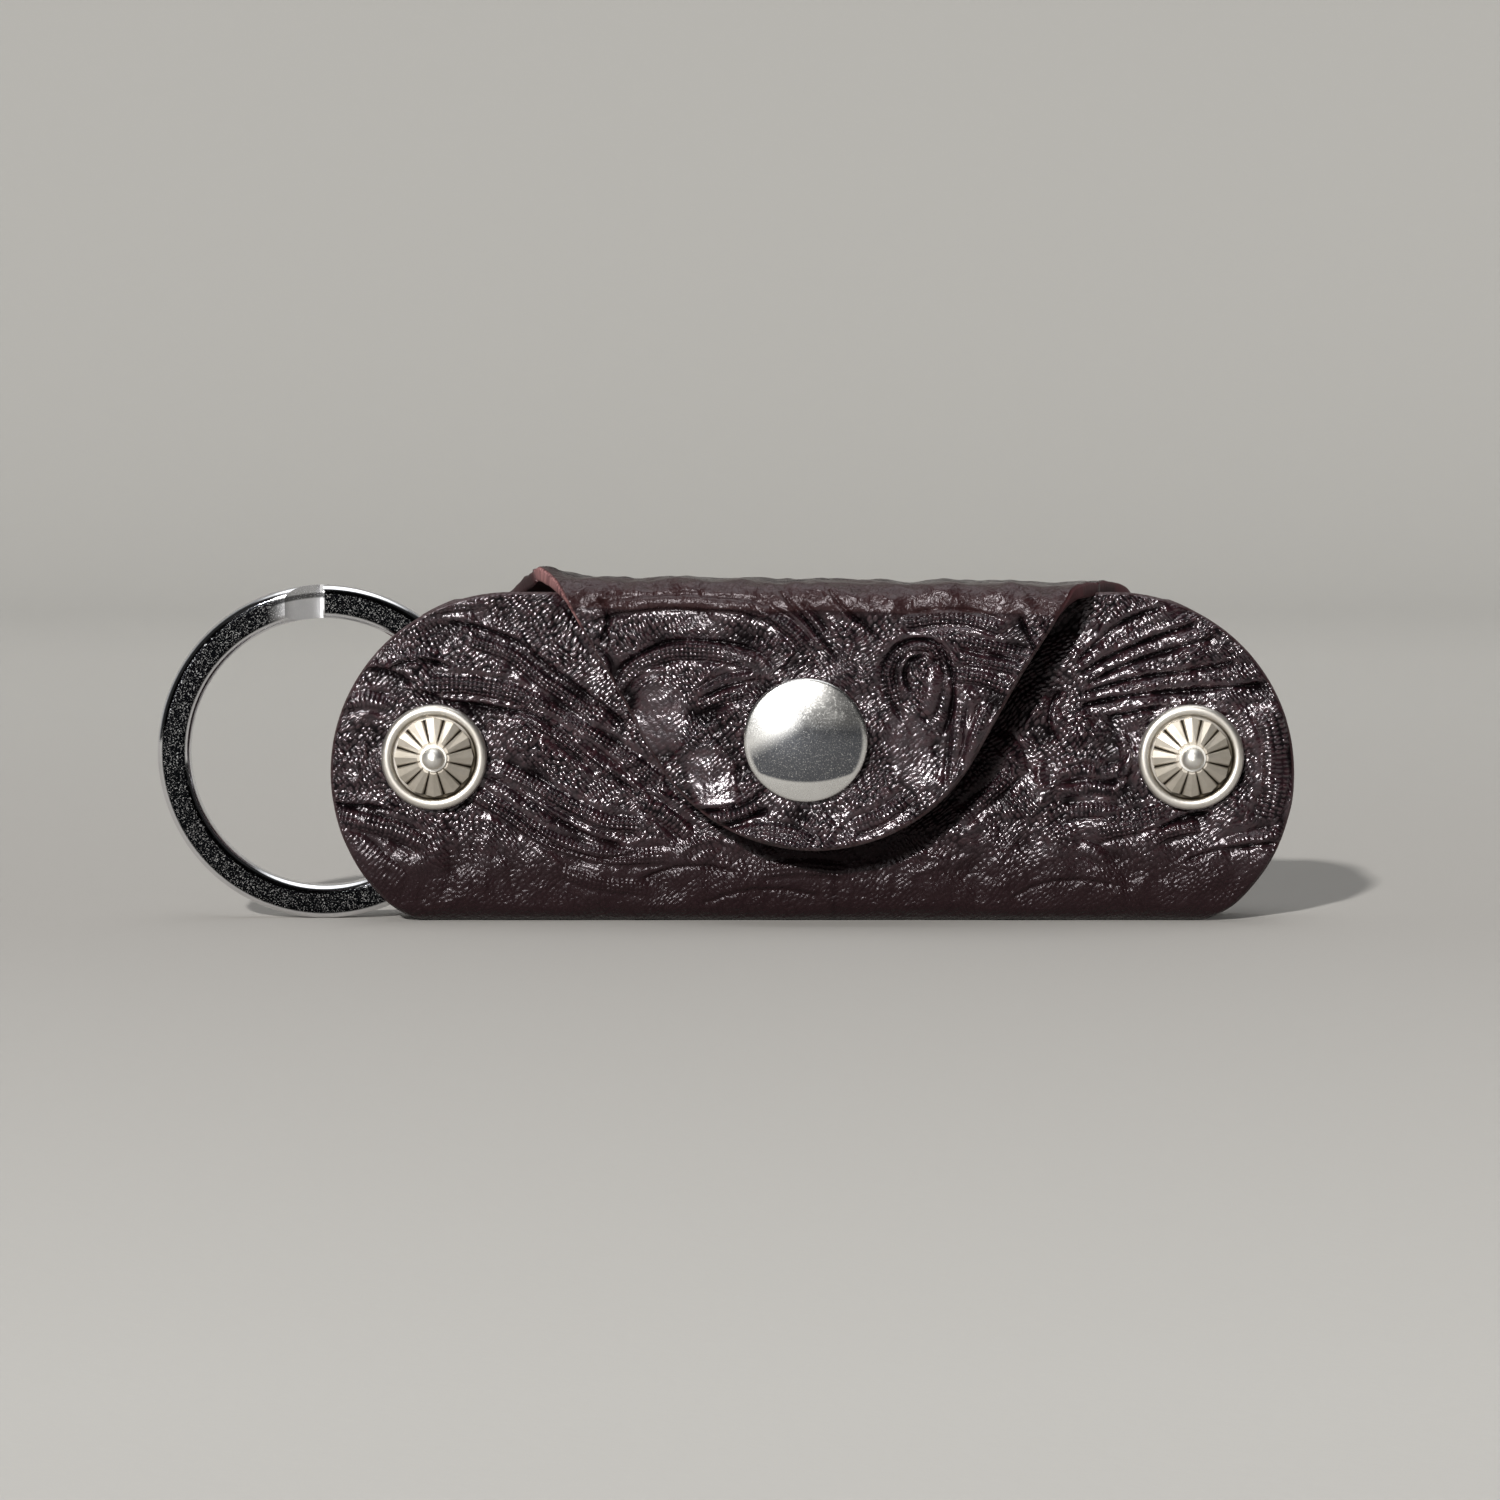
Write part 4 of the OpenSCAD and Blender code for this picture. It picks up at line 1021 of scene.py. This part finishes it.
def metal_material(name, colour, tint, roughs, grain, wear, darkening=None, speck=0.0, rub=None):
    """Worn metal: fine speckle in its roughness and bumps, fine pits and a slightly uneven colour.

    A darkening is a dark colour, the middle of the fitting, and a function that makes its share from how far a place
    lies from there in X and Z. It paints reflection on the snap's cap and the ring's faces, paints shade in a concho's
    recess and a nut's slot, and darkens the sunburst's grooves. Rub is such a function for what is added to the
    roughness.
    """
    n = Nodes(bpy.data.materials.new(name))
    place = n.place()
    cloud = n.noise(place, 350.0, 4.0, 0.6)
    speckle = n.noise(place, 5200.0, 3.0, 0.7)
    pits = n.spread(n.cells(place, 2600.0), 0.0, 0.12)
    colour = n.mix(n.spread(cloud, 0.35, 0.65), colour, tint)
    rough = n.plus(n.spread(cloud, 0.3, 0.7, *roughs), n.spread(speckle, 0.5, 0.75, 0.0, wear))
    if darkening:
        dark, middle, share_at = darkening
        parts = n.parts(place)
        offset = [n.minus(n.times(parts[axis], 1 / MM), middle[axis]) for axis in (0, 2)]
        share = share_at(n, *offset)
        if speck:
            share = n.times(share, n.smooth(n.noise(place, 8500.0, 2.0, 0.6), 0.70, 0.57, 1 - speck, 1.0))
        colour = n.mix(share, colour, dark)
        if rub:
            rough = n.plus(rough, rub(n, *offset))
    n.set(n.shader, Base_Color=colour, Roughness=rough, Metallic=1.0,
          Normal=n.bump(pits, grain * 0.4 * MM, n.bump(speckle, grain * MM)))
    return n.owner


def cap_painted_reflection(n, x, z):
    """Painted reflection: dark over the middle and lower right of the cap, and left bright at its top, its upper left
    and its lower edge.
    """
    low = n.smooth(n.distance(x, n.minus(z, 8.6)), 12.9, 12.6)
    left = n.times(n.most(n.times(x, -1.0), 0.0), 0.55)
    return n.times(low, n.smooth(n.plus(z, left), 3.1, 0.7), n.smooth(n.distance(x, z), 5.9, 5.5))


def recess_painted_shade(n, x, z):
    """Painted shade in the groove between a concho's bezel and its sunburst, darkest at the lower right."""
    low_right = n.smooth(n.minus(x, z), -3.5, 4.0, 0.25, 1.0)
    return n.times(low_right, n.smooth(n.distance(x, z), CONCHO_R - 0.8, CONCHO_R - 1.05))


def groove_darkening(n, x, z):
    """Dark along the bottoms of the sunburst's grooves."""
    turn = n.plus(n.times(n.math("ARCTAN2", z, x), BURST_RAYS / (2 * math.pi)), BURST_RAYS)
    off = n.math("ABSOLUTE", n.minus(n.math("FRACT", turn), 0.5))
    return n.times(n.smooth(off, 0.085, 0.03), n.smooth(n.distance(x, z), 1.5, 2.0))


def slot_painted_shade(n, x, z):
    """Painted shade in the coin slot of a barrel nut's head, which is 1 mm wide."""
    return n.smooth(n.math("ABSOLUTE", z), 0.52, 0.44)


def crossing(n, x, z):
    """1 on the slant where one turn of the ring's wire ends and the other comes forward beside it."""
    along = n.times(n.smooth(x, -5.85, -2.85), n.smooth(x, 0.25, 0.05))
    return n.times(along, n.smooth(n.math("ABSOLUTE", n.minus(z, 15.0)), 4.5, 3.5))


def face_painted_reflection(n, x, z):
    """Painted reflection: dark on the flat faces of the ring's wire, and bright on its edges and on the slant, but for
    a dark line there.
    """
    off = n.math("ABSOLUTE", n.minus(n.distance(x, z), 15.95))
    bright = n.times(crossing(n, x, z), n.smooth(off, 0.15, 0.35, 0.15, 0.9))
    return n.times(n.smooth(n.math("ABSOLUTE", n.parts(n.place("Normal"))[1]), 0.86, 0.95), n.rest(bright))


def crossing_rub(n, x, z):
    """Duller on the slant, and most so on its lower half."""
    return n.times(crossing(n, x, z), n.smooth(z, 16.6, 15.2, 0.16, 0.30))


def assign(objects, material):
    """Gives each object one material."""
    for piece in objects:
        piece.data.materials.clear()
        piece.data.materials.append(material)


# Camera: it looks a little down on the case from in front, from the photograph's distance
CAMERA_DISTANCE = 550.0
CAMERA_RISE = math.radians(4)
PHOTO_SIZE = 1500
SENSOR = 36.0


def build_camera():
    """Puts the photograph's view in the middle of the image at the panel's plane."""
    centre = on_panel((PHOTO_SIZE / 2, PHOTO_SIZE / 2))
    target = np.array([centre[0], -HALF_DEPTH, centre[1]])
    away = np.array([0, -math.cos(CAMERA_RISE), math.sin(CAMERA_RISE)])
    data = bpy.data.cameras.new("camera")
    data.sensor_width = SENSOR
    data.lens = PIXELS_PER_MM * CAMERA_DISTANCE / PHOTO_SIZE * SENSOR
    data.clip_start, data.clip_end = 0.01, 20
    camera = new_object("camera", data)
    camera.location = Vector((target + away * CAMERA_DISTANCE) * MM)
    camera.rotation_euler = (math.pi / 2 - CAMERA_RISE, 0, 0)
    bpy.context.scene.camera = camera


def build_stage():
    """A pale floor that sweeps up into a backdrop."""
    half, front, back, rise, turn_r = 2500, -2000, 700, 2000, 500
    angles = np.linspace(0, math.pi / 2, 24)
    profile = [(back + turn_r * math.sin(a), turn_r * (1 - math.cos(a))) for a in angles]
    profile = [(front, 0.0)] + profile + [(back + turn_r, rise)]
    points = [(x, y, z) for y, z in profile for x in (-half, half)]
    faces = [(2 * i, 2 * i + 1, 2 * i + 3, 2 * i + 2) for i in range(len(profile) - 1)]
    floor = mesh_object("floor", points, faces)
    n = Nodes(bpy.data.materials.new("floor"))
    place = n.place()
    depth = n.parts(place)[1]
    # Painted light falloff: the paper is paler in front of the case and darker behind it and up the backdrop
    paper_with_painted_falloff = n.mix(n.spread(depth, -0.26, 0.0), (182, 180, 176), (160, 157, 153))
    paper_with_painted_falloff = n.mix(n.spread(depth, 0.0, 0.35), paper_with_painted_falloff, (164, 162, 158))
    paper_with_painted_falloff = n.mix(n.spread(depth, 0.5, 1.2), paper_with_painted_falloff, (142, 141, 138))
    n.set(n.shader, Base_Color=paper_with_painted_falloff, Roughness=0.85, Normal=n.bump(n.noise(place, 900.0), 0.02 * MM))
    assign([floor], n.owner)


def aimed(name, kind, towards, **settings):
    """A lamp that shines in a direction."""
    data = bpy.data.lights.new(name, kind)
    for key, value in settings.items():
        setattr(data, key, value)
    lamp = new_object(name, data)
    lamp.rotation_mode = "QUATERNION"
    lamp.rotation_quaternion = Vector(towards).to_track_quat("-Z", "Y")
    return lamp


def build_light():
    """A small lamp from the front left, a soft one left of the camera, and a room that is dark in front."""
    aimed("key", "SUN", (0.65, 1.9, -1.0), energy=4.2, angle=math.radians(2.6), color=(1.0, 0.985, 0.96))
    soft = aimed("soft", "AREA", (0.22, 0.62, -0.085), energy=0.25, shape="DISK", size=0.20)
    soft.location = (-0.22, -0.62, 0.105)
    n = Nodes(bpy.data.worlds.new("room"), "Background")
    bpy.context.scene.world = n.owner
    _, ahead, up = n.parts(n.place("Generated"))
    strength = n.plus(n.smooth(ahead, -0.15, 0.65, 0.02, 0.55), n.smooth(up, 0.84, 0.99, 0.0, 2.3))
    n.set(n.shader, Strength=strength, Color=(0.97, 0.985, 1.0, 1.0))


build_camera()
build_stage()
build_light()

case_leather = build_case()
flap_back, flap_front = build_flap()
assign([case_leather, flap_back, flap_front], leather_material())
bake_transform(flap_back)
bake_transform(flap_front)

# Metals: colour, tint, lowest and highest roughness, grain in millimetres and wear
cap_metal = metal_material("snap_silver", (236, 235, 232), (222, 221, 218), (0.16, 0.26), 0.004, 0.14,
                           darkening=((100, 102, 107), SNAP, cap_painted_reflection), speck=0.85)
chrome = metal_material("ring_chrome", (238, 238, 240), (226, 226, 228), (0.05, 0.10), 0.0018, 0.05,
                        darkening=((13, 14, 17), RING, face_painted_reflection), speck=0.75, rub=crossing_rub)
steel = metal_material("plain_steel", (196, 197, 200), (176, 178, 182), (0.28, 0.38), 0.003, 0.1)
NODE_METALS = {"snap_cap": cap_metal, "key_ring": chrome}
SIDE_GRAIN = 0.0045
# At each end: node, metal, its colour, tint, roughness and wear, and the colour and share of its darkening: painted
# shade in the bezel's recess and the nut's slot, and darker grooves on the sunburst
SIDE_METALS = (
    ("_concho_cup", "_bezel_silver", (234, 230, 223), (216, 210, 201), (0.36, 0.44), 0.1, (92, 84, 72), recess_painted_shade),
    ("_concho_sunburst", "_burst_silver", (206, 199, 188), (186, 179, 167), (0.50, 0.60), 0.06, (66, 58, 48),
     groove_darkening),
    ("_barrel_nut", "_silver", (234, 232, 226), (220, 216, 208), (0.22, 0.32), 0.14, (46, 43, 39), slot_painted_shade),
    ("_concho_ball", "_ball_silver", (240, 238, 233), (228, 225, 218), (0.40, 0.48), 0.1, None, None),
)
for side, post in POSTS.items():
    for node, metal, colour, tint, roughs, wear, dark, share_at in SIDE_METALS:
        NODE_METALS[side + node] = metal_material(side + metal, colour, tint, roughs, SIDE_GRAIN, wear,
                                                  darkening=share_at and (dark, post, share_at))
for name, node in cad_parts.items():
    if name not in ("case_body", "flap_bridge", "flap_tongue", "snap_cap"):
        assign([node], NODE_METALS.get(name, steel))
assign([build_cap()], cap_metal)

bpy.context.scene.view_settings.view_transform = "Standard"
